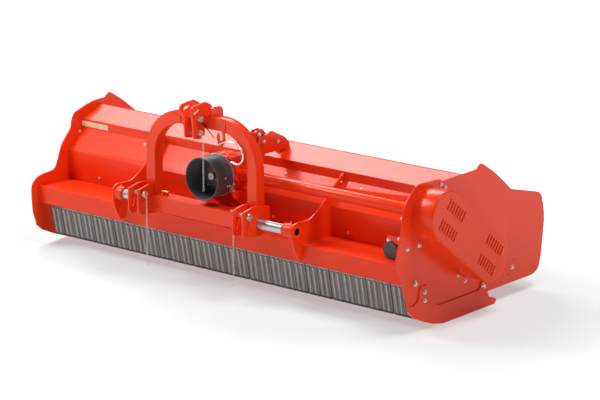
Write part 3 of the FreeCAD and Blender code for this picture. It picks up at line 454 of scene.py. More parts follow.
# ---------------------------------------------------------------- hanging pin chains
def chain(name, node, route, body, far):
    """Oval links threaded on the line of the route's own spline."""
    curve = bpy.data.curves.new(name + "_line", "CURVE")
    curve.dimensions = "3D"
    curve.resolution_u = 24
    sp = curve.splines.new("NURBS")
    sp.points.add(len(route) - 1)
    for pt, q in zip(sp.points, route):
        pt.co = (*V(*q), 1.0)
    sp.order_u = 3
    sp.use_endpoint_u = True
    helper = bpy.data.objects.new(name + "_line", curve)
    scene.collection.objects.link(helper)
    bpy.context.view_layer.update()
    line = bpy.data.meshes.new_from_object(helper)
    pts = [v.co.copy() for v in line.vertices]
    bpy.data.objects.remove(helper)
    if (pts[0] - V(*route[0])).length > (pts[-1] - V(*route[0])).length:
        pts.reverse()
    runs = [0.0]
    for a, b in zip(pts, pts[1:]):
        runs.append(runs[-1] + (b - a).length)

    def along(s):
        s = max(0.0, min(runs[-1], s))
        for i in range(len(pts) - 1):
            if s <= runs[i + 1]:
                t = (s - runs[i]) / max(1e-9, runs[i + 1] - runs[i])
                return pts[i].lerp(pts[i + 1], t), (pts[i + 1] - pts[i]).normalized()
        return pts[-1], (pts[-1] - pts[-2]).normalized()

    wire, inside, wide = 1.3, 12.5, 3.6
    pitch = inside / 1000.0
    b = Build(name, body, [M_ZINC], "zinc")
    count = int((runs[-1] - 0.004) / pitch)
    pitch = (runs[-1] - 2 * wire / 1000.0) / count
    for k in range(count):
        c, t = along(pitch * (k + 0.5) + wire / 1000.0)
        turn = Matrix.Rotation(0.5 * math.pi * k + 0.4, 3, t)
        side = turn @ t.orthogonal().normalized()
        half = pitch / 2 - wide / 1000.0 + wire / 1000.0
        ring = []
        for a0, sgn in ((0, 1), (180, -1)):
            for u, v in arc(0, 0, wide, a0, a0 + 180, 5):
                ring.append(c + side * (u / 1000.0) + t * (v / 1000.0 + sgn * half))
        b.tube(ring, wire, 6, 0, closed=True)
    obj = b.done()
    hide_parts(node)
    return obj, pts, runs[-1]


def ring_pin(name, end, body):
    """The loose end of a chain: an eye and a small ring."""
    b = Build(name, body, [M_ZINC, M_PLATE], "zinc")
    x, y, z = end
    b.tube([V(x + 5.0 * math.cos(math.radians(a)), y, z - 4.6 + 5.0 * math.sin(math.radians(a))) for a in range(0, 360, 24)], 1.4, 8, 0, closed=True)
    ring = [V(x + 2.0 * math.cos(math.radians(a)), y + 8.5 * math.sin(math.radians(a)), z - 17.0 + 8.5 * math.cos(math.radians(a))) for a in range(0, 360, 15)]
    b.tube(ring, 1.5, 8, 0, closed=True)
    return b.done()


HANG = (
    ("chain_left_links", "chain_left", HEAD - HALF + 75.0, -160.0, 556.0, 428.0),
    ("chain_right_links", "chain_right", HEAD + HALF - 73.0, -160.0, 556.0, 428.0),
    ("chain_top_links", "chain_top", HEAD + 81.0, -113.0, 1010.0, 328.0),
)
for name, node, cx, cy, top, length in HANG:
    route = [
        (cx, cy, top), (cx, cy, top - 20.0), (cx + 1.2, cy - 1.0, top - length * 0.35),
        (cx - 1.2, cy + 1.0, top - length * 0.7), (cx, cy, top - length),
    ]
    obj, pts, run = chain(name, node, route, "headstock", "object")
    pin = ring_pin(name.replace("links", "pin"), (cx, cy, top - length), "headstock")

# ---------------------------------------------------------------- CAD nodes: finish and soft edges
FINISH = {
    "slide_bar": M_BAR, "ram_rod": M_BAR, "pto_shaft": M_SHAFT,
    "flap_bar": M_ZINC, "door_bar": M_ZINC, "lower_pin_left": M_ZINC, "lower_pin_right": M_ZINC,
    "upper_pin": M_ZINC, "spare_pin": M_ZINC, "shaft_hook": M_PLATE,
    "pto_guard": M_BLACK, "canister": M_BLACK, "ram_barrel": M_BLACK_METAL,
    "hammers_1": M_FORGED, "hammers_2": M_FORGED, "hammers_3": M_FORGED, "hammers_4": M_FORGED,
    "rotor_bearing_left": M_FORGED, "rotor_bearing_right": M_FORGED,
    "flaps_1": M_FLAP, "flaps_2": M_FLAP, "flaps_3": M_FLAP, "flaps_4": M_FLAP,
    "gearbox": M_RED_CAST, "drive_tube": M_RED_SHEET, "belt_cover": M_RED_SHEET,
    "hood_shell": M_RED_SHEET, "roof_sheet": M_RED_SHEET, "rear_door": M_RED_SHEET,
    "front_box_left": M_RED_SHEET, "front_box_middle": M_RED_SHEET, "front_box_right": M_RED_SHEET,
}
ROUND = {"belt_cover": 0.8, "hose_plate": 1.5, "gearbox": 2.2, "arch": 2.5, "lower_beam": 3.0}
for n, o in NODES.items():
    if n.startswith("chain"):
        continue
    mat = FINISH.get(n, M_RED)
    if not o.material_slots:
        o.data.materials.append(mat)
    for s in o.material_slots:
        s.material = mat
    weld = o.modifiers.new("weld", "WELD")
    weld.merge_threshold = 0.00002
    bev = o.modifiers.new("edge", "BEVEL")
    bev.width = ROUND.get(n, 1.3) / 1000.0
    bev.segments = 2
    bev.limit_method = "ANGLE"
    bev.angle_limit = math.radians(40)
    bev.harden_normals = False

# ---------------------------------------------------------------- flap ribs and hems
PITCH = (RIGHT - LEFT - 40.0) / 32.0
LEAN = math.radians(11.5)


def flap_point(x, down, out):
    """A point on a flap: down from its top edge, out in front of its face (mm)."""
    y0, z0 = 110.0 - 24.0, 270.0 - 3.0
    y = y0 + down * math.sin(LEAN) - out * math.cos(LEAN)
    z = z0 - down * math.cos(LEAN) - out * math.sin(LEAN)
    return V(x, y, z)


GAPS = (9.0, 4.0, 3.0, 7.0, 3.0, 9.0, 4.0, 6.0, 3.0, 5.0, 8.0, 3.0)
for row in range(4):
    ribs = Build("flap_ribs_%d" % (row + 1), "flap_row_%d" % (row + 1), [M_FLAP, M_FLAP_HIGHLIGHT, M_FLAP_DARK, M_SLOT_SHADE], "grey_flaps")
    for k in range(row * 8, row * 8 + 8):
        x0 = LEFT + 20.0 + k * PITCH + 3.0
        wide = PITCH - (6.0 if k % 8 == 7 else GAPS[k % 12])
        for part in (0.275, 0.715):
            cx = x0 + wide * part
            # a pressed half-round rib with a domed top
            rings = []
            for down, w, h in ((14, 3.5, 0.4), (15.5, 7.0, 3.4), (19, 10.0, 6.8), (25, 12.0, 9.0), (34, 12.6, 9.8), (120, 12.6, 9.8), (180, 12.6, 9.8), (193, 12.0, 8.6), (198, 11.2, 5.4), (201, 10.0, 0.6)):
                rings.append([flap_point(cx - w, down, -0.6)] + [
                    flap_point(cx - w * math.cos(math.radians(t)), down, h * math.sin(math.radians(t)) ** 0.8)
                    for t in range(15, 166, 15)
                ] + [flap_point(cx + w, down, -0.6)])
            ribs.ring_stack(rings, 0)
            # painted highlight: a bright tube along each rib's crest, widest over the domed top
            crest = [flap_point(cx + 2.0, d, h) for d, h in ((15.5, 3.6), (18.0, 6.0), (21.5, 7.4), (27.0, 8.4), (36.0, 8.8), (80.0, 8.8), (140.0, 8.8), (182.0, 8.8), (194.0, 7.2))]
            ribs.tube(crest, [1.6, 4.4, 4.8, 3.2, 2.3, 2.1, 2.0, 2.0, 1.0], 8, 1)
        # rolled top edge in the bright painted-highlight steel, and the darker hem along the bottom
        top = [flap_point(x0 + 0.8 + (wide - 1.6) * t / 8, 3.6, 1.6) for t in range(9)]
        ribs.tube(top, [2.4] + [3.4] * 7 + [2.4], 8, 1)
        rings = []
        for x, q in ((x0 + 0.4, 0.3), (x0 + 1.4, 1.0), (x0 + wide - 1.4, 1.0), (x0 + wide - 0.4, 0.3)):
            rings.append([flap_point(x, d, h * q) for d, h in ((199.0, 0.2), (200.5, 1.8), (202.0, 2.4), (212.0, 2.4), (213.6, 1.4), (213.9, -1.0), (199.0, -1.0))])
        ribs.ring_stack(rings, 2)
        # painted shade: a near-black strip behind the slot beside the next flap, standing for the dark seen through
        # the gap
        near, far = x0 + wide - 0.2, x0 + PITCH - 0.8
        rings = []
        for x in (near, near + 0.6, far - 0.6, far):
            q = 0.6 if x in (near, far) else 0.0
            rings.append([flap_point(x, d, h) for d, h in ((8.0 + q, -1.6 - q), (208.0 - q, -1.6 - q), (208.0 - q, -3.4 + q), (8.0 + q, -3.4 + q))])
        ribs.ring_stack(rings, 3)
    ribs.done()

# ---------------------------------------------------------------- bolts on the hood panels
hood_bolts = Build("hood_bolts", "hood", [M_ZINC], "zinc")
slope_n = Vector((0, -140.0, 132.0)).normalized()
wall_n = Vector((0, -1.0, -0.067)).normalized()
for bx in (-1562.0, -960.0, -350.0, 262.0, 871.0, 1480.0):
    hood_bolts.capbolt(V(bx, 397.0, 709.4) + slope_n * 0.006, slope_n, 22.0, 6.0)
for bx in (-1289.0, -680.0, 236.0, 844.0, 1450.0):
    hood_bolts.capbolt(V(bx, 302.0, 447.0) + wall_n * 0.006, wall_n, 22.0, 6.0)
hood_bolts.capbolt(V(1263.0, 296.0, 611.0) - slope_n * 0.001, slope_n, 20.0, 7.0)
hood_bolts.done()

# ---------------------------------------------------------------- bolts on the end plates
OUT_R = RIGHT + THICK
OUT_L = LEFT - THICK
ends = Build("end_bolts_right", "hood", [M_ZINC], "zinc")
for y, z, size, raised in (
    (128.0, 243.0, 17.0, 8.0), (129.0, 189.0, 17.0, 8.0), (78.0, 547.0, 19.0, 0.0),
    (-38.0, 546.0, 17.0, 0.0), (474.0, 269.0, 15.0, 0.0), (546.0, 215.0, 15.0, 0.0),
    (748.0, 134.0, 17.0, 0.0), (1042.0, 193.0, 17.0, 0.0), (722.0, 150.0, 17.0, 8.0),
    (287.0, 882.0, 15.0, 0.0), (328.0, 856.0, 15.0, 0.0),
):
    ends.hexbolt(V(OUT_R + raised, y, z), X, size, size * 0.45)
ends.done()
ends = Build("end_bolts_left", "hood", [M_ZINC], "zinc")
for y, z, size, raised in (
    (128.0, 243.0, 17.0, 8.0), (129.0, 189.0, 17.0, 8.0), (91.0, 400.0, 17.0, 0.0),
    (474.0, 269.0, 15.0, 0.0), (1042.0, 193.0, 17.0, 0.0), (722.0, 150.0, 17.0, 8.0),
):
    ends.hexbolt(V(OUT_L - raised, y, z), -X, size, size * 0.45)
ends.done()

# ---------------------------------------------------------------- belt cover: louvres, seal
SLOPE = math.atan2(385.0 - 735.0, 612.0 - 150.0)
AL = (math.cos(SLOPE), math.sin(SLOPE))
AC = (-math.sin(SLOPE), math.cos(SLOPE))
FACE = OUT_R + 160.0


def on_cover(x, reach, side):
    return V(x, 150.0 + AL[0] * reach + AC[0] * side, 735.0 + AL[1] * reach + AC[1] * side)


def rounded(w, h, r, n=5):
    """A rectangle w by h about 0, 0 with round corners."""
    out = []
    for cx, cy, a0 in ((w / 2 - r, h / 2 - r, 0), (-w / 2 + r, h / 2 - r, 90), (-w / 2 + r, -h / 2 + r, 180), (w / 2 - r, -h / 2 + r, 270)):
        out.extend(arc(cx, cy, r, a0, a0 + 90, n))
    return out


louvres = Build("cover_louvres", "hood", [M_RED_SHEET, M_SHADE_BLACK], "red_paint")
for reach, side in ((53.0, 67.0), (53.0, -67.0), (549.0, 67.0), (549.0, -67.0)):
    # painted shade: a near-black plate behind each group of slits, standing for the dark inside the cover
    back = rounded(208.0, 84.0, 12.0)
    louvres.ring_stack([[on_cover(x, reach + a, side + b) for a, b in back] for x in (FACE - 7.2, FACE - 5.2)], 1)
    for k in range(-3, 4):
        mid = reach + 29.5 * k
        # a pressed hood below each slit, tapered at both ends
        rings = []
        for across, tall in ((-38.0, 0.05), (-35.0, 0.7), (-30.0, 1.0), (30.0, 1.0), (35.0, 0.7), (38.0, 0.05)):
            rings.append([
                on_cover(FACE - 0.4 + (h + 0.4) * tall, mid + d, side + across)
                for d, h in ((17.5, -0.3), (14.5, 0.9), (10.0, 3.2), (6.6, 4.6), (4.0, 4.6), (3.7, -0.3))
            ])
        louvres.ring_stack(rings, 0)
louvres.done()


def obround(x, radius, n=22):
    """Points round the cover's outline."""
    pts = []
    base = math.degrees(SLOPE)
    for cy, cz, a0 in ((612.0, 385.0, base - 90), (150.0, 735.0, base + 90)):
        pts.extend(V(x, a, b) for a, b in arc(cy, cz, radius, a0, a0 + 180, n))
    return pts


seal = Build("cover_seal", "hood", [M_RED_SHEET], "red_paint")
seal.tube(obround(OUT_R + 1.6, 158.2), 2.2, 8, 0, closed=True)
seal.done()

# ---------------------------------------------------------------- guard and drive shaft
AXLE = V(GEAR, 0.0, 728.0)


def about(y, radius, degrees):
    return V(GEAR + radius * math.cos(math.radians(degrees)), y, 728.0 + radius * math.sin(math.radians(degrees)))


def radial(degrees):
    return Vector((math.cos(math.radians(degrees)), 0.0, math.sin(math.radians(degrees))))


guard = Build("guard_fittings", "hood", [M_PLATE, M_BLACK, M_ZINC], "zinc")
guard.loop([(50.0, 134.8), (50.0, 136.6), (51.0, 137.4), (60.0, 137.4), (61.2, 136.6), (61.2, 134.8)], AXLE, Y, 72, 0)
guard.loop([(-96.0, 130.0), (-97.5, 132.2), (-96.0, 136.4), (-91.0, 136.8), (-90.0, 135.2), (-90.0, 130.0)], AXLE, Y, 72, 1)
for y in (-60.0, -10.0):
    guard.loop([(y - 3.0, 134.6), (y - 2.0, 135.9), (y + 2.0, 135.9), (y + 3.0, 134.6)], AXLE, Y, 72, 1)
for y, a in ((-22.0, 5.0), (3.0, -20.0), (26.0, -22.0), (20.0, 150.0), (20.0, 95.0)):
    guard.capbolt(about(y, 134.6, a), radial(a), 13.0, 4.5, 2)
# worm clamp on the rear band
guard.prism(rounded(26.0, 10.0, 3.0), about(56.0, 136.6, -24.0), radial(66.0), Y, -9.0, 2)
guard.lathe([(-18.0, 3.6), (-17.0, 4.6), (17.0, 4.6), (19.0, 5.6), (24.0, 5.6), (24.6, 4.6)], about(56.0, 143.0, -24.0), radial(66.0), 14, 2)
for a in (45.0, 135.0, 225.0, 315.0):
    guard.hexbolt(about(56.0, 104.0, a), -Y, 13.0, 6.0, mat=2)
guard.loop([(36.0, 46.0), (34.0, 50.0), (34.0, 74.0), (38.0, 90.0), (52.0, 100.0), (56.2, 100.0), (56.2, 75.2), (39.6, 75.2), (39.6, 46.0)], AXLE, Y, 60, 1)
guard.done()

lo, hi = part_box("pto_shaft")
NOSE = lo.y * 1000 + 590.0
teeth = Build("shaft_splines", "pto", [M_SHAFT, M_SHADE_BLACK], "bright_steel")
rings = []
for y, tip in ((NOSE + 1.0, 22.8), (NOSE + 3.0, 24.3), (NOSE + 14.0, 24.3), (NOSE + 15.5, 22.3), (NOSE + 19.5, 22.3), (NOSE + 21.0, 24.3), (NOSE + 38.0, 24.3), (NOSE + 40.0, 22.3)):
    ring = []
    for k in range(21):
        for da, r in ((0.0, 22.0), (0.22, tip), (0.55, tip), (0.77, 22.0)):
            ring.append(about(y, r, (k + da) * 360.0 / 21))
    rings.append(ring)
teeth.ring_stack(rings, 0)
# painted shade: a near-black disc in the centre hole of the shaft nose
teeth.lathe([(-0.4, 1.5), (-0.4, 4.2), (0.5, 4.2)], V(GEAR, NOSE, 728.0), -Y, 20, 1)
teeth.done(angle=28.0)

# ---------------------------------------------------------------- gearbox
box = Build("gearbox_fittings", "hood", [M_ZINC, M_BRASS, M_RED_CAST, M_SHADE_BLACK], "red_paint")
PAINT = 2
for k in range(6):
    a = 30.0 + 60.0 * k
    box.hexbolt(about(40.0, 62.0, a), -Y, 13.0, 6.0, mat=PAINT)
    box.hexbolt(V(GEAR + 110.0 + 10.0, 150.0 + 54.0 * math.cos(math.radians(a)), 728.0 + 54.0 * math.sin(math.radians(a))), X, 13.0, 6.5, mat=PAINT)
    box.hexbolt(V(GEAR + 62.0 * math.cos(math.radians(a)), 256.0, 728.0 + 62.0 * math.sin(math.radians(a))), Y, 13.0, 6.5, mat=PAINT)
    box.hexbolt(V(GEAR - 114.0, 156.0 + 60.0 * math.cos(math.radians(a)), 728.0 + 60.0 * math.sin(math.radians(a))), -X, 13.0, 6.5, mat=PAINT)
box.loop([(0.0, 38.0), (0.0, 66.0), (2.0, 68.0), (8.0, 68.0), (10.0, 66.0), (10.0, 40.0), (22.0, 38.6), (22.0, 37.6)], V(GEAR + 110.0, 150.0, 728.0), X, 48, 2)
box.loop([(0.0, 20.0), (0.0, 74.0), (2.0, 76.0), (5.0, 76.0), (7.0, 73.0), (7.0, 44.0), (11.0, 40.0), (11.0, 20.0)], V(GEAR, 249.0, 728.0), Y, 48, 2)
box.loop([(0.0, 10.0), (0.0, 72.0), (2.0, 74.0), (6.0, 74.0), (8.0, 71.0), (8.0, 30.0), (12.0, 26.0), (12.0, 10.0)], V(GEAR - 106.0, 156.0, 728.0), -X, 48, 2)
# top cover with its bolts, filler and breather; level glass; stand bolts
box.prism([(-74.0, 70.0), (74.0, 70.0), (84.0, 80.0), (84.0, 228.0), (74.0, 238.0), (-74.0, 238.0), (-84.0, 228.0), (-84.0, 80.0)], V(GEAR, 0.0, 836.5), X, Y, 8.0, 2, 1.5)
for lx, ly in ((-68.0, 86.0), (68.0, 86.0), (68.0, 222.0), (-68.0, 222.0), (0.0, 86.0), (0.0, 222.0)):
    box.hexbolt(V(GEAR + lx, ly, 844.5), Z, 13.0, 5.0, mat=PAINT)
box.lathe([(-1.0, 19.0), (3.0, 19.0), (4.0, 17.0), (4.0, 8.0)], V(GEAR - 18.0, 130.0, 844.5), Z, 28, 2)
box.lathe([(0.0, 12.5), (6.0, 12.5), (7.0, 11.0), (7.0, 4.0)], V(GEAR - 18.0, 130.0, 848.5), Z, 6, 1)
box.loop([(0.0, 9.0), (0.0, 24.0), (3.0, 26.0), (6.0, 24.0), (6.0, 9.0)], V(GEAR + 36.0, 164.0, 844.5), Z, 32, 2)
box.lathe([(0.0, 14.0), (4.0, 14.0), (5.0, 12.0), (5.0, 2.0)], V(GEAR - 106.0, 236.0, 672.0), -X, 24, 1)
for wx in (GEAR - 112.0, GEAR + 112.0):
    for wy in (82.0, 150.0 if wx < GEAR else 232.0, 262.0):
        box.hexbolt(V(wx, wy, 632.0), Z, 15.0, 8.0, mat=0)
box.done()

tube = Build("tube_collar", "hood", [M_RED_SHEET, M_ZINC], "red_paint")
tube.loop([(0.0, 37.6), (-3.0, 60.0), (-3.0, 66.0), (-11.0, 66.0), (-12.0, 64.0), (-12.0, 37.6)], V(RIGHT, 150.0, 728.0), X, 48, 0)
for k in range(4):
    a = math.radians(45.0 + 90.0 * k)
    tube.hexbolt(V(RIGHT - 12.0, 150.0 + 54.0 * math.cos(a), 728.0 + 54.0 * math.sin(a)), -X, 13.0, 6.0, mat=1)
tube.done()

# ---------------------------------------------------------------- welds on the headstock
BEAM_L, BEAM_R = HEAD - 475.0, HEAD + 475.0
EARS = []
for sign in (-1.0, 1.0):
    mid = HEAD + sign * HALF
    EARS.append((mid - 47.0, mid - 35.0))
    EARS.append((mid + 35.0, mid + 47.0))
weld = Build("headstock_welds", "headstock", [M_RED], "red_paint")
for x0, x1 in ((HEAD + 4.0 - 464.0, HEAD + 4.0 - 389.0), (HEAD + 4.0 + 389.0, HEAD + 4.0 + 464.0)):
    weld.bead((x0 + 2, -56.5, 554.0), (x1 - 2, -56.5, 554.0), 4.5)
    inner = x1 if x0 < HEAD else x0
    weld.bead((inner + (1 if x0 < HEAD else -1), -54.0, 553.5), (inner + (1 if x0 < HEAD else -1), 4.0, 553.5), 4.5)
for x0, x1 in EARS:
    for x in (x0 - 0.5, x1 + 0.5):
        if BEAM_L < x < BEAM_R:
            weld.bead((x, -96.5, 458.0), (x, -96.5, 548.0), 4.5)
            weld.bead((x, -92.0, 553.5), (x, -2.0, 553.5), 4.0)
for x0 in (HEAD - 39.0, HEAD + 33.0):
    for x in (x0 - 0.5, x0 + 12.5):
        weld.bead((x, -56.5, 1050.0), (x, -56.5, 1128.0), 4.5)
        weld.bead((x, -52.0, 1132.5), (x, 17.0, 1132.5), 4.5)
for x0 in (HEAD - 106.0, HEAD + 94.0):
    for x in (x0 - 0.5, x0 + 12.5):
        weld.bead((x, -52.0, 1132.5), (x, 17.0, 1132.5), 4.0)
for x0 in (BEAM_L, BEAM_R - 70.0):
    for x, s in ((x0 - 0.5, -1), (x0 + 70.5, 1)):
        if x0 == BEAM_L and s < 0 or x0 != BEAM_L and s > 0:
            ring = [V(x, -45.0 + 47.0 * math.cos(math.radians(t)), 502.0 + 47.0 * math.sin(math.radians(t))) for t in range(0, 360, 12)]
            weld.tube(ring, 3.5, 8, 0, closed=True)
weld.bead((BEAM_L + 62.0, 6.5, 462.0), (BEAM_L + 62.0, 6.5, 542.0), 4.0)
weld.bead((78.0 - 6.0, 5.5, 436.0), (139.0, 5.5, 436.0), 3.5)
for z in (431.0, 547.0):
    weld.bead((140.0, 6.5, z), (156.0, 6.5, z), 4.0)
weld.bead((139.0, 6.5, 436.0), (139.0, 6.5, 544.0), 4.0)
weld.bead((157.0, 6.5, 436.0), (157.0, 6.5, 544.0), 4.0)
weld.bead((124.0, -57.0, 1066.0), (146.0, -57.0, 1066.0), 3.5)
# gusset in front of the arch, left of the upper bracket
weld.prism([(-325.0, 1118.0), (-331.0, 1090.0), (-292.0, 1048.0), (-228.0, 1058.0), (-227.0, 1093.0), (-285.0, 1106.0)], V(0.0, -54.8, 0.0), X, Z, 5.5, 0, 0.8)
weld.done()

# ---------------------------------------------------------------- pins, clips, small fittings of the headstock
pins = Build("pin_fittings", "headstock", [M_ZINC, M_BRASS, M_PLATE, M_BLACK_METAL, M_RED], "zinc")
for sign in (-1.0, 1.0):
    mid = HEAD + sign * HALF
    here = V(mid + 68.0, -160.0, 572.0)
    pins.lathe([(-0.5, 16.0), (1.6, 15.5), (2.6, 13.6), (1.2, 11.6), (0.8, 9.0), (1.6, 7.0), (3.0, 5.0), (3.2, 1.0)], here, X, 28, 2)
    # linch pin with its sprung ring through the head
    pins.tube([V(mid + 61.0, -160.0, 572.0 + 24.0), V(mid + 61.0, -160.0, 572.0 - 25.0)], 3.0, 10, 0)
    ring = [V(mid + 61.0 + 4.0 * math.sin(math.radians(t)), -160.0 + 19.5 * math.sin(math.radians(t)), 572.0 + 20.5 * math.cos(math.radians(t))) for t in range(0, 360, 15)]
    pins.tube(ring, 1.8, 8, 0, closed=True)
    pins.lathe([(0.0, 14.2), (0.0, 19.0), (4.0, 19.0), (5.0, 17.0), (5.0, 14.2)], V(mid - 47.0, -160.0, 572.0), -X, 24, 0)
    pins.tube([V(mid - 59.0, -160.0 - 21.0, 572.0 + 4.0), V(mid - 59.0, -160.0 + 21.0, 572.0 - 4.0)], 2.6, 10, 0)
    pins.tube([V(mid - 59.0, -160.0 + 17.0 * math.cos(t), 572.0 + 17.0 * math.sin(t)) for t in [math.radians(a) for a in range(0, 360, 20)]], 1.8, 8, 0, closed=True)
for y, z in ((-112.0, 1120.0), (-110.0, 1028.0)):
    pins.lathe([(-0.5, 15.5), (1.4, 15.0), (2.2, 12.0), (1.0, 9.0), (1.4, 2.0)], V(HEAD + 57.0 + 3.0, y, z), X, 24, 2)
    pins.tube([V(HEAD + 62.0, y - 14.0, z + 20.0), V(HEAD + 63.0, y, z), V(HEAD + 62.0, y + 14.0, z - 20.0)], 3.0, 10, 0)
    pins.tube([V(HEAD + 62.0, y + 18.0, z + 9.0), V(HEAD + 63.0, y, z), V(HEAD + 62.0, y - 18.0, z - 9.0)], 2.4, 10, 0)
    ring = [V(HEAD + 62.5, y + 18.5 * math.cos(math.radians(t)), z + 18.5 * math.sin(math.radians(t))) for t in range(0, 360, 15)]
    pins.tube(ring, 1.9, 8, 0, closed=True)
    pins.lathe([(0.0, 13.0), (0.0, 18.0), (4.0, 18.0), (5.0, 16.0), (5.0, 13.0)], V(HEAD - 39.0, y, z), -X, 24, 0)
    pins.tube([V(HEAD - 57.0, y, z + 18.0), V(HEAD - 57.0, y, z - 18.0)], 2.6, 10, 0)
# sprung clip between the two pins, its tail resting beside the ear
pins.tube([V(HEAD + 61.0, -108.0, 1100.0), V(HEAD + 63.0, -100.0, 1092.0), V(HEAD + 64.0, -84.0, 1070.0), V(HEAD + 63.0, -60.0, 1052.0), V(HEAD + 62.0, -30.0, 1020.0), V(HEAD + 61.0, 2.0, 986.0), V(HEAD + 61.0, 14.0, 972.0)], [2.4, 3.0, 3.0, 3.0, 3.0, 3.0, 2.2], 10, 3)
pins.tube([V(HEAD + 62.0, -112.0, 1076.0), V(HEAD + 63.0, -98.0, 1088.0), V(HEAD + 64.0, -76.0, 1082.0), V(HEAD + 64.0, -58.0, 1062.0)], [2.2, 2.8, 2.8, 2.0], 10, 3)
# link from the lower pin's ring to the chain
pins.tube([V(HEAD + 62.5, -110.0, 1012.5), V(HEAD + 63.5, -110.0, 1006.5), V(HEAD + 69.0, -109.5, 1004.5), V(HEAD + 76.5, -109.0, 1006.5), V(HEAD + 77.0, -109.0, 1011.5)], 1.8, 8, 0)
# lock pin on the beam, in two small tabs
for x in (-392.0, -364.0):
    pins.prism([(-58.0, 551.0), (-32.0, 551.0), (-32.0, 570.0), (-38.0, 580.0), (-52.0, 580.0), (-58.0, 570.0)], V(x, 0.0, 0.0), Y, Z, 5.0, 4, 0.8)
pins.lathe([(0.0, 3.0), (0.6, 6.2), (3.0, 7.2), (52.0, 7.2), (54.6, 6.0), (55.0, 2.0)], V(-404.0, -45.0, 576.0), X, 20, 1)
pins.hexbolt(V(232.0, -70.0, 552.0), Z, 15.0, 8.0, mat=0, nut=True)
pins.hexbolt(V(206.0, -70.0, 552.0), Z, 12.0, 6.0, mat=0)
# grease nipples on the sliding hubs
for x in (BEAM_L + 35.0, BEAM_R - 35.0):
    pins.lathe([(-1.0, 5.5), (3.0, 5.5), (4.0, 3.4), (9.0, 3.4), (10.0, 4.4), (13.0, 3.6), (15.0, 1.6)], V(x, -82.0, 556.0), (0, -0.5, 0.87), 14, 1)
# ram rod nut and clevis eye
pins.hexbolt(V(156.0, 85.0, 455.0), X, 30.0, 14.0, mat=0, nut=True)
pins.lathe([(-10.0, 15.2), (-10.0, 20.0), (-1.0, 20.0), (0.0, 18.0), (0.0, 15.2)], V(140.0, 85.0, 455.0), X, 6, 0)
pins.done()

# ---------------------------------------------------------------- bushes, ram and ribs
fit = Build("bush_fittings", "hood", [M_BRASS, M_RED, M_ZINC, M_BLACK_METAL, M_SHADE_BLACK], "red_paint")
for x in (-764.0, 668.0):
    fit.lathe([(-2.0, 6.0), (3.0, 6.0), (4.0, 3.6), (9.0, 3.6), (10.0, 4.8), (14.0, 4.0), (16.5, 1.6)], V(x, -45.0, 546.0), Z, 14, 0)
for x in (-793.0, 703.0):
    ring = [V(x, -45.0 + 46.0 * math.cos(math.radians(t)), 502.0 + 46.0 * math.sin(math.radians(t))) for t in range(0, 360, 10)]
    fit.tube(ring, 4.0, 8, 1, closed=True)
for x, axis in ((716.0, X), (-794.0, X), (704.0, -X), (-806.0, -X)):
    for y, z in ((388.0, 734.0), (402.0, 773.0)):
        fit.capbolt(V(x, y, z), axis, 15.0, 5.0, 2)
fit.loop([(-3.0, 23.0), (-3.0, 44.0), (0.8, 44.0), (1.6, 43.0), (1.6, 24.5), (0.8, 23.0)], V(716.0, -45.0, 502.0), X, 48, 1)
# painted shade: a near-black liner and end disc inside the hub bore
fit.loop([(-60.0, 21.8), (-60.0, 23.6), (-2.0, 23.6), (-2.0, 21.8)], V(716.0, -45.0, 502.0), X, 40, 4)
fit.lathe([(-62.0, 2.0), (-62.0, 23.4), (-58.0, 23.4), (-58.0, 2.0)], V(716.0, -45.0, 502.0), X, 40, 4)
fit.loop([(-26.0, 28.5), (-25.0, 33.5), (-2.0, 33.5), (0.0, 31.5), (1.0, 24.0), (3.0, 20.0), (3.0, 15.4), (-26.0, 15.4)], V(-210.0, 85.0, 455.0), X, 36, 3)
fit.loop([(0.0, 28.5), (0.0, 36.0), (2.0, 38.0), (12.0, 38.0), (14.0, 36.0), (14.0, 28.5)], V(-794.0, 85.0, 455.0), X, 36, 3)
for x in (-758.0, -250.0):
    fit.lathe([(-2.0, 12.0), (7.0, 12.0), (8.0, 10.5)], V(x, 85.0, 483.0), Z, 20, 3)
    fit.lathe([(0.0, 9.0), (9.0, 9.0), (10.0, 8.0)], V(x, 85.0, 490.0), Z, 6, 2)
    fit.lathe([(0.0, 6.0), (6.0, 6.5), (7.0, 8.0), (12.0, 8.0), (13.0, 6.5)], V(x, 85.0, 499.0), Z, 16, 2)
for k in range(4):
    a = math.radians(45.0 + 90.0 * k)
    fit.hexbolt(V(-780.0, 85.0 + 33.0 * math.cos(a), 455.0 + 33.0 * math.sin(a)), X, 10.0, 5.0, washer=False, mat=2)
fit.done()

rib_weld = Build("hood_welds", "hood", [M_RED], "red_paint")
for x in (-806.5, -793.5, 703.5, 716.5):
    rib_weld.bead((x, 4.0, 413.5), (x, 296.0, 407.0), 4.0, pitch=7.0)
    rib_weld.bead((x, 298.0, 412.0), (x, 285.6, 600.0), 4.0, pitch=7.0)
    rib_weld.bead((x, 287.0, 603.0), (x, 417.0, 741.0), 4.0, pitch=7.0)
    rib_weld.bead((x, -1.5, 320.0), (x, -1.5, 410.0), 4.0, pitch=7.0)
rib_weld.bead((162.8, 506.0, 834.5), (162.8, 544.0, 847.5), 4.5, pitch=7.0)
for x in (117.5,):
    rib_weld.bead((x, 466.0, 819.0), (x, 538.0, 845.0), 4.5, pitch=7.0)
for x in (GEAR - 126.5, GEAR + 126.5):
    rib_weld.bead((x, 232.0, 470.0), (x, 290.0, 436.0), 4.0, pitch=7.0)
    rib_weld.bead((x, 290.5, 440.0), (x, 287.0, 596.0), 4.0, pitch=7.0)
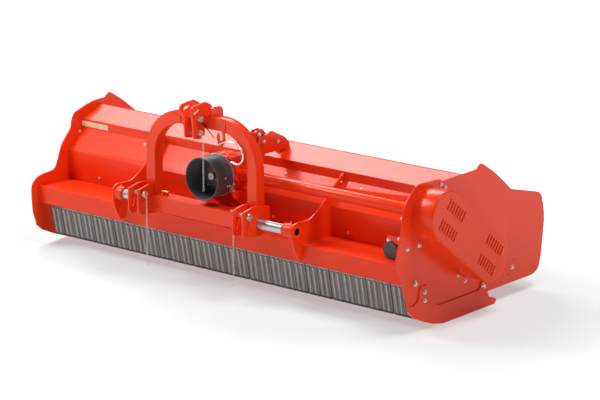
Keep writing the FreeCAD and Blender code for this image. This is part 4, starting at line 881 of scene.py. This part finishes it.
for x in (LEFT + 1.0, RIGHT - 1.0):
    rib_weld.bead((x, 84.0, 295.0), (x, 4.0, 295.0), 3.5, pitch=8.0)
    rib_weld.bead((x, 4.0, 414.0), (x, 300.0, 406.0), 3.5, pitch=8.0)
    rib_weld.bead((x, 298.0, 412.0), (x, 286.0, 600.0), 3.5, pitch=8.0)
    rib_weld.bead((x, 287.5, 603.5), (x, 417.5, 741.0), 3.5, pitch=8.0)
    rib_weld.bead((x, 420.0, 802.5), (x, 600.0, 867.0), 3.5, pitch=8.0)
rib_weld.done()

# ---------------------------------------------------------------- rear edge of the top panel, label strip
edge = Build("roof_lip", "hood", [M_RED_SHEET], "red_paint")
rings = []
for x, k in ((LEFT + 1.0, 0.4), (LEFT + 2.5, 0.0), (RIGHT - 2.5, 0.0), (RIGHT - 1.0, 0.4)):
    rings.append([V(x, y + (603.0 - y) * k * 0.3, z + (866.0 - z) * k * 0.3) for y, z in ((599.5, 864.5), (600.5, 868.4), (602.0, 869.2), (606.0, 868.9), (610.0, 867.2), (613.0, 863.5), (613.0, 858.0), (606.0, 858.0))])
edge.ring_stack(rings, 0)
edge.done()

strip = Build("blank_strip", "hood", [M_LABEL], "red_paint")
up = Vector((0.0, -4.0, 57.0)).normalized()
strip.prism(rounded(240.0, 36.0, 3.0), V(-1438.0, 416.05, 766.0), X, up, 0.8, 0)
strip.done()

# ---------------------------------------------------------------- lug clevis, canister
cl = Build("lug_clevis", "hood", [M_RED, M_ZINC, M_PLATE], "red_paint")
tab = [(238.0, 930.0), (234.0, 990.0), (246.0, 1002.0), (310.0, 1004.0), (348.0, 962.0), (346.0, 922.0), (300.0, 912.0), (256.0, 914.0)]
for x in (98.0, 131.0):
    cl.prism(tab, V(x, 0.0, 0.0), Y, Z, 6.0, 0, 0.8)
cl.box(98.0, 151.0, 262.0, 340.0, 908.0, 916.0, 0, 1.0)
cl.box(104.0, 131.0, 300.0, 312.0, 914.0, 992.0, 0, 1.0)
cl.lathe([(0.0, 4.0), (1.0, 8.5), (3.0, 9.5), (72.0, 9.5), (74.0, 8.0), (75.0, 3.0)], V(82.0, 268.0, 972.0), X, 20, 1)
cl.lathe([(0.0, 9.5), (0.0, 17.0), (5.0, 17.0), (6.0, 15.0), (6.0, 9.5)], V(137.5, 268.0, 972.0), X, 20, 2)
cl.lathe([(0.0, 9.5), (0.0, 17.0), (5.0, 17.0), (6.0, 15.0), (6.0, 9.5)], V(97.5, 268.0, 972.0), -X, 20, 2)
cl.tube([V(88.0, 268.0, 990.0), V(88.0, 268.0, 952.0)], 2.4, 10, 1)
cl.tube([V(88.0, 268.0 + 16.0 * math.cos(math.radians(t)), 972.0 + 16.0 * math.sin(math.radians(t))) for t in range(0, 360, 20)], 2.0, 8, 1, closed=True)
cl.tube([V(150.0, 268.0, 984.0), V(150.0, 268.0, 958.0), V(151.0, 262.0, 940.0)], 2.8, 10, 1)
cl.tube([V(142.0, 238.0, 996.0), V(142.0, 262.0, 978.0), V(142.0, 300.0, 956.0), V(142.0, 328.0, 940.0), V(142.0, 338.0, 944.0), V(142.0, 326.0, 960.0), V(142.0, 292.0, 980.0)], 2.6, 8, 1)
cl.lathe([(-3.0, 12.0), (0.0, 17.0), (7.0, 17.0), (9.0, 14.0), (9.0, 4.0)], V(162.0, 284.0, 926.0), X, 24, 2)
cl.hexbolt(V(171.0, 284.0, 926.0), X, 15.0, 8.0, washer=False, mat=1)
cl.hexbolt(V(162.0, 432.0, 898.0), X, 16.0, 7.0, mat=1)
cl.hexbolt(V(150.0, 432.0, 898.0), -X, 16.0, 7.0, mat=1, nut=True)
cl.done()

can = Build("canister_fittings", "hood", [M_BLACK, M_ZINC, M_RED], "black_plastic")
C0 = V(1327.0, 100.0, 463.0)
can.loop([(-14.0, 49.4), (-14.0, 53.0), (-13.0, 54.0), (-2.0, 54.0), (0.0, 52.5), (0.5, 49.0), (-1.0, 46.0), (-1.0, 30.0), (-14.0, 30.0)], C0, -Y, 48, 0)
can.loop([(0.0, 49.4), (0.0, 51.8), (16.0, 51.8), (16.0, 49.4)], V(1327.0, 168.0, 463.0), Y, 48, 1)
for k in range(24):
    t = math.radians(15.0 * k)
    can.tube([C0 + Vector((0.0542 * math.cos(t), 0.002, 0.0542 * math.sin(t))), C0 + Vector((0.0542 * math.cos(t), 0.013, 0.0542 * math.sin(t)))], 1.6, 6, 0)
can.prism(rounded(112.0, 46.0, 8.0), V(1352.0, 118.0, 531.0), X, Z, 5.0, 2)
can.box(1318.0, 1336.0, 118.0, 132.0, 508.0, 530.0, 2, 1.0)
for x, z in ((1309.0, 524.0), (1391.0, 543.0)):
    can.hexbolt(V(x, 113.0, z), -Y, 17.0, 8.0, mat=1)
can.hexbolt(V(1378.0, 168.0, 412.0), Z, 15.0, 7.0, mat=1)
can.hexbolt(V(1276.0, 168.0, 412.0), Z, 15.0, 7.0, mat=1)
can.done()

# ---------------------------------------------------------------- rear door: stiffeners, hem, handles
DOOR = [(1046.0, 685.6), (1290.0, 615.2), (1306.0, 596.0), (1361.0, 440.0), (1361.0, 420.0), (1325.0, 152.0)]


def door_out(i, d):
    """Point i of the door line moved out of the sheet by d."""
    a, b = DOOR[max(0, i - 1)], DOOR[min(len(DOOR) - 1, i + 1)]
    l = math.hypot(b[0] - a[0], b[1] - a[1])
    n = (-(b[1] - a[1]) / l, (b[0] - a[0]) / l)
    return DOOR[i][0] + n[0] * d, DOOR[i][1] + n[1] * d


rear = Build("door_stiffeners", "door", [M_RED_SHEET, M_ZINC, M_SLOT_SHADE], "red_paint")
for x in (-1180.0, -590.0, 0.0, 590.0, 1180.0):
    rings = []
    for i in range(len(DOOR)):
        tall = 15.0 if 0 < i < len(DOOR) - 1 else 3.0
        section = []
        for dx, d in ((-34.0, -0.5), (-30.0, 1.6), (-20.0, tall - 1.5), (-16.0, tall), (16.0, tall), (20.0, tall - 1.5), (30.0, 1.6), (34.0, -0.5)):
            y, z = door_out(i, d)
            section.append(V(x + dx, y, z))
        rings.append(section)
    rear.ring_stack(rings, 0)
hem = [V(LEFT + 12.0 + (RIGHT - LEFT - 24.0) * t / 12, 1321.0, 133.0) for t in range(13)]
rear.tube(hem, 6.0, 12, 0)
for x in (-880.0, -300.0, 300.0, 880.0):
    pts = [V(x - 70.0, 1340.0, 500.0), V(x - 70.0, 1362.0, 507.0), V(x - 62.0, 1371.0, 510.0), V(x + 62.0, 1371.0, 510.0), V(x + 70.0, 1362.0, 507.0), V(x + 70.0, 1340.0, 500.0)]
    rear.tube(pts, 6.5, 12, 0)
    for dx in (-70.0, 70.0):
        rear.loop([(0.0, 6.0), (0.0, 15.0), (3.0, 15.0), (3.5, 14.0), (3.5, 6.0)], V(x + dx, 1337.5, 499.0), (0, 0.947, 0.322), 20, 0)
for x in (-1500.0, -760.0, -40.0, 700.0, 1440.0):
    for dx in (14.0, 46.0):
        rear.hexbolt(V(x + dx, 1076.0, 683.5), (0, 0.277, 0.961), 15.0, 7.0, mat=1)
rear.done()

hinge = Build("hinge_ends", "hood", [M_ZINC], "zinc")
for x, axis in ((OUT_L, -X),):
    hinge.hexbolt(V(x, 1008.0, 700.0), axis, 22.0, 11.0, nut=True)
hinge.done()

# ---------------------------------------------------------------- left bearing, rotor bolts
bear = Build("bearing_flange", "hood", [M_FORGED, M_ZINC, M_BRASS], "dark_steel")
ROT = V(OUT_L, 612.0, 385.0)
bear.loop([(0.0, 77.0), (0.0, 118.0), (2.0, 120.0), (9.0, 120.0), (11.0, 117.0), (11.0, 90.0), (20.0, 84.0), (24.0, 77.0)], ROT, -X, 60, 0)
for k in range(6):
    a = math.radians(30.0 + 60.0 * k)
    bear.hexbolt(V(OUT_L - 11.0, 612.0 + 103.0 * math.cos(a), 385.0 + 103.0 * math.sin(a)), -X, 19.0, 9.0, mat=1)
bear.lathe([(-1.0, 5.0), (4.0, 5.0), (5.0, 3.4), (10.0, 3.4), (11.0, 4.4), (14.0, 3.6), (15.0, 1.6)], V(OUT_L - 20.0, 612.0, 467.0), Z, 14, 2)
bear.done()

HPITCH = (RIGHT - LEFT - 60.0 - 60.0) / 32.0
bolts = Build("hammer_bolts", "rotor", [M_ZINC, M_RED], "zinc")
for row, (ang, start) in enumerate(((0, 0), (90, 1), (180, 2), (270, 3))):
    t = math.radians(ang)
    out = Vector((0.0, -math.sin(t), math.cos(t)))
    side = Vector((0.0, math.cos(t), math.sin(t)))
    for k in range(start, 32, 4):
        x = LEFT + 60.0 + (k + 0.5) * HPITCH
        at = V(x, 612.0, 385.0) + out * 0.130
        bolts.hexbolt(at + X * 0.026, X, 24.0, 11.0, mat=0, nut=True)
        bolts.hexbolt(at - X * 0.026, -X, 24.0, 12.0, mat=0)
        for dx in (-0.0265, -0.0155, 0.0155, 0.0265):
            base = V(x, 612.0, 385.0) + X * dx + out * 0.0845
            pts = [base + side * (0.026 * (i / 5.0 - 1.0)) - out * (0.0845 - math.sqrt(0.0860 ** 2 - (0.026 * (i / 5.0 - 1.0)) ** 2)) for i in range(11)]
            bolts.tube(pts, [3.0 if i % 2 else 3.8 for i in range(11)], 6, 1)
bolts.done()

# ---------------------------------------------------------------- rod ends on the shoes
rod = Build("rod_ends", "hood", [M_BRASS, M_ZINC], "zinc")
for x, s in ((OUT_R, 1.0), (OUT_L, -1.0)):
    rod.lathe([(-1.0, 19.0), (2.5, 19.0), (3.0, 17.0), (3.0, 11.0), (13.0, 11.0), (15.0, 9.0), (15.0, 2.0)], V(x, 38.0, 315.0), X * s, 24, 0)
    rod.tube([V(x + 9.0 * s, 38.0, 315.0 + 20.0), V(x + 9.0 * s, 38.0, 315.0 - 22.0)], 2.4, 8, 1)
    rod.tube([V(x + 9.0 * s, 38.0 + 14.0 * math.cos(math.radians(t)), 315.0 + 14.0 * math.sin(math.radians(t))) for t in range(0, 360, 20)], 1.7, 8, 1, closed=True)
    rod.lathe([(-1.0, 15.0), (2.0, 15.0), (2.5, 13.0)], V(x, 110.0, 270.0), X * s, 24, 1)
rod.done()

# ---------------------------------------------------------------- floor, light
mesh = bpy.data.meshes.new("floor")
mesh.from_pydata([(-400, -400, 0), (400, -400, 0), (400, 400, 0), (-400, 400, 0)], [], [(0, 1, 2, 3)])
floor = bpy.data.objects.new("floor", mesh)
floor.location.z = -0.0005
scene.collection.objects.link(floor)
fm, fnt, fp = material("floor_glow_painted_shade", (0.435, 0.475, 0.475), 0.8, spec=0.05)
fp.inputs["Emission Color"].default_value = (1.0, 1.0, 1.0, 1.0)
# painted shade: the floor's glow is weak near the machine and full white further out, darkening the floor round it
fgeo = fnt.nodes.new("ShaderNodeNewGeometry")
fmap = fnt.nodes.new("ShaderNodeMapping")
fmap.inputs["Scale"].default_value = (0.62, 1.0, 1.0)
fnt.links.new(fgeo.outputs["Position"], fmap.inputs["Vector"])
flen = fnt.nodes.new("ShaderNodeVectorMath")
flen.operation = "LENGTH"
fnt.links.new(fmap.outputs["Vector"], flen.inputs[0])
fnt.links.new(remap(fnt, flen.outputs["Value"], 0.435, 1.0, 1.25, 3.5), fp.inputs["Emission Strength"])
mesh.materials.append(fm)

world = bpy.data.worlds.new("studio")
world.use_nodes = True
wt = world.node_tree
back = wt.nodes["Background"]
back.inputs["Strength"].default_value = 1.0
wco = wt.nodes.new("ShaderNodeTexCoord")
wsep = wt.nodes.new("ShaderNodeSeparateXYZ")
wt.links.new(wco.outputs["Generated"], wsep.inputs[0])
wr = wt.nodes.new("ShaderNodeValToRGB")
wr.color_ramp.elements[0].position, wr.color_ramp.elements[0].color = 0.0, (0.13, 0.13, 0.13, 1)
wr.color_ramp.elements[1].position, wr.color_ramp.elements[1].color = 1.0, (0.12, 0.12, 0.12, 1)
wt.links.new(wsep.outputs["Z"], wr.inputs["Fac"])
wt.links.new(wr.outputs["Color"], back.inputs["Color"])
scene.world = world


def area(name, spot, target, size, radiance, color=(1, 1, 1)):
    light = bpy.data.lights.new(name, "AREA")
    light.shape = "RECTANGLE"
    light.size, light.size_y = size
    light.energy = radiance * math.pi * size[0] * size[1]
    light.color = color
    obj = bpy.data.objects.new(name, light)
    obj.location = spot
    obj.rotation_euler = (Vector(target) - Vector(spot)).to_track_quat("-Z", "Y").to_euler()
    scene.collection.objects.link(obj)
    return obj


area("key_back_left", (-5.0, 3.6, 6.4), (0, 0, 0.6), (5.2, 2.8), 9.0)
area("front_top_left", (-4.3, -3.3, 5.8), (-0.6, 0, 0.5), (2.8, 2.8), 13.5)
area("right_top", (3.9, 0.1, 8.4), (1.0, 0, 0.5), (3.4, 3.4), 13.0)
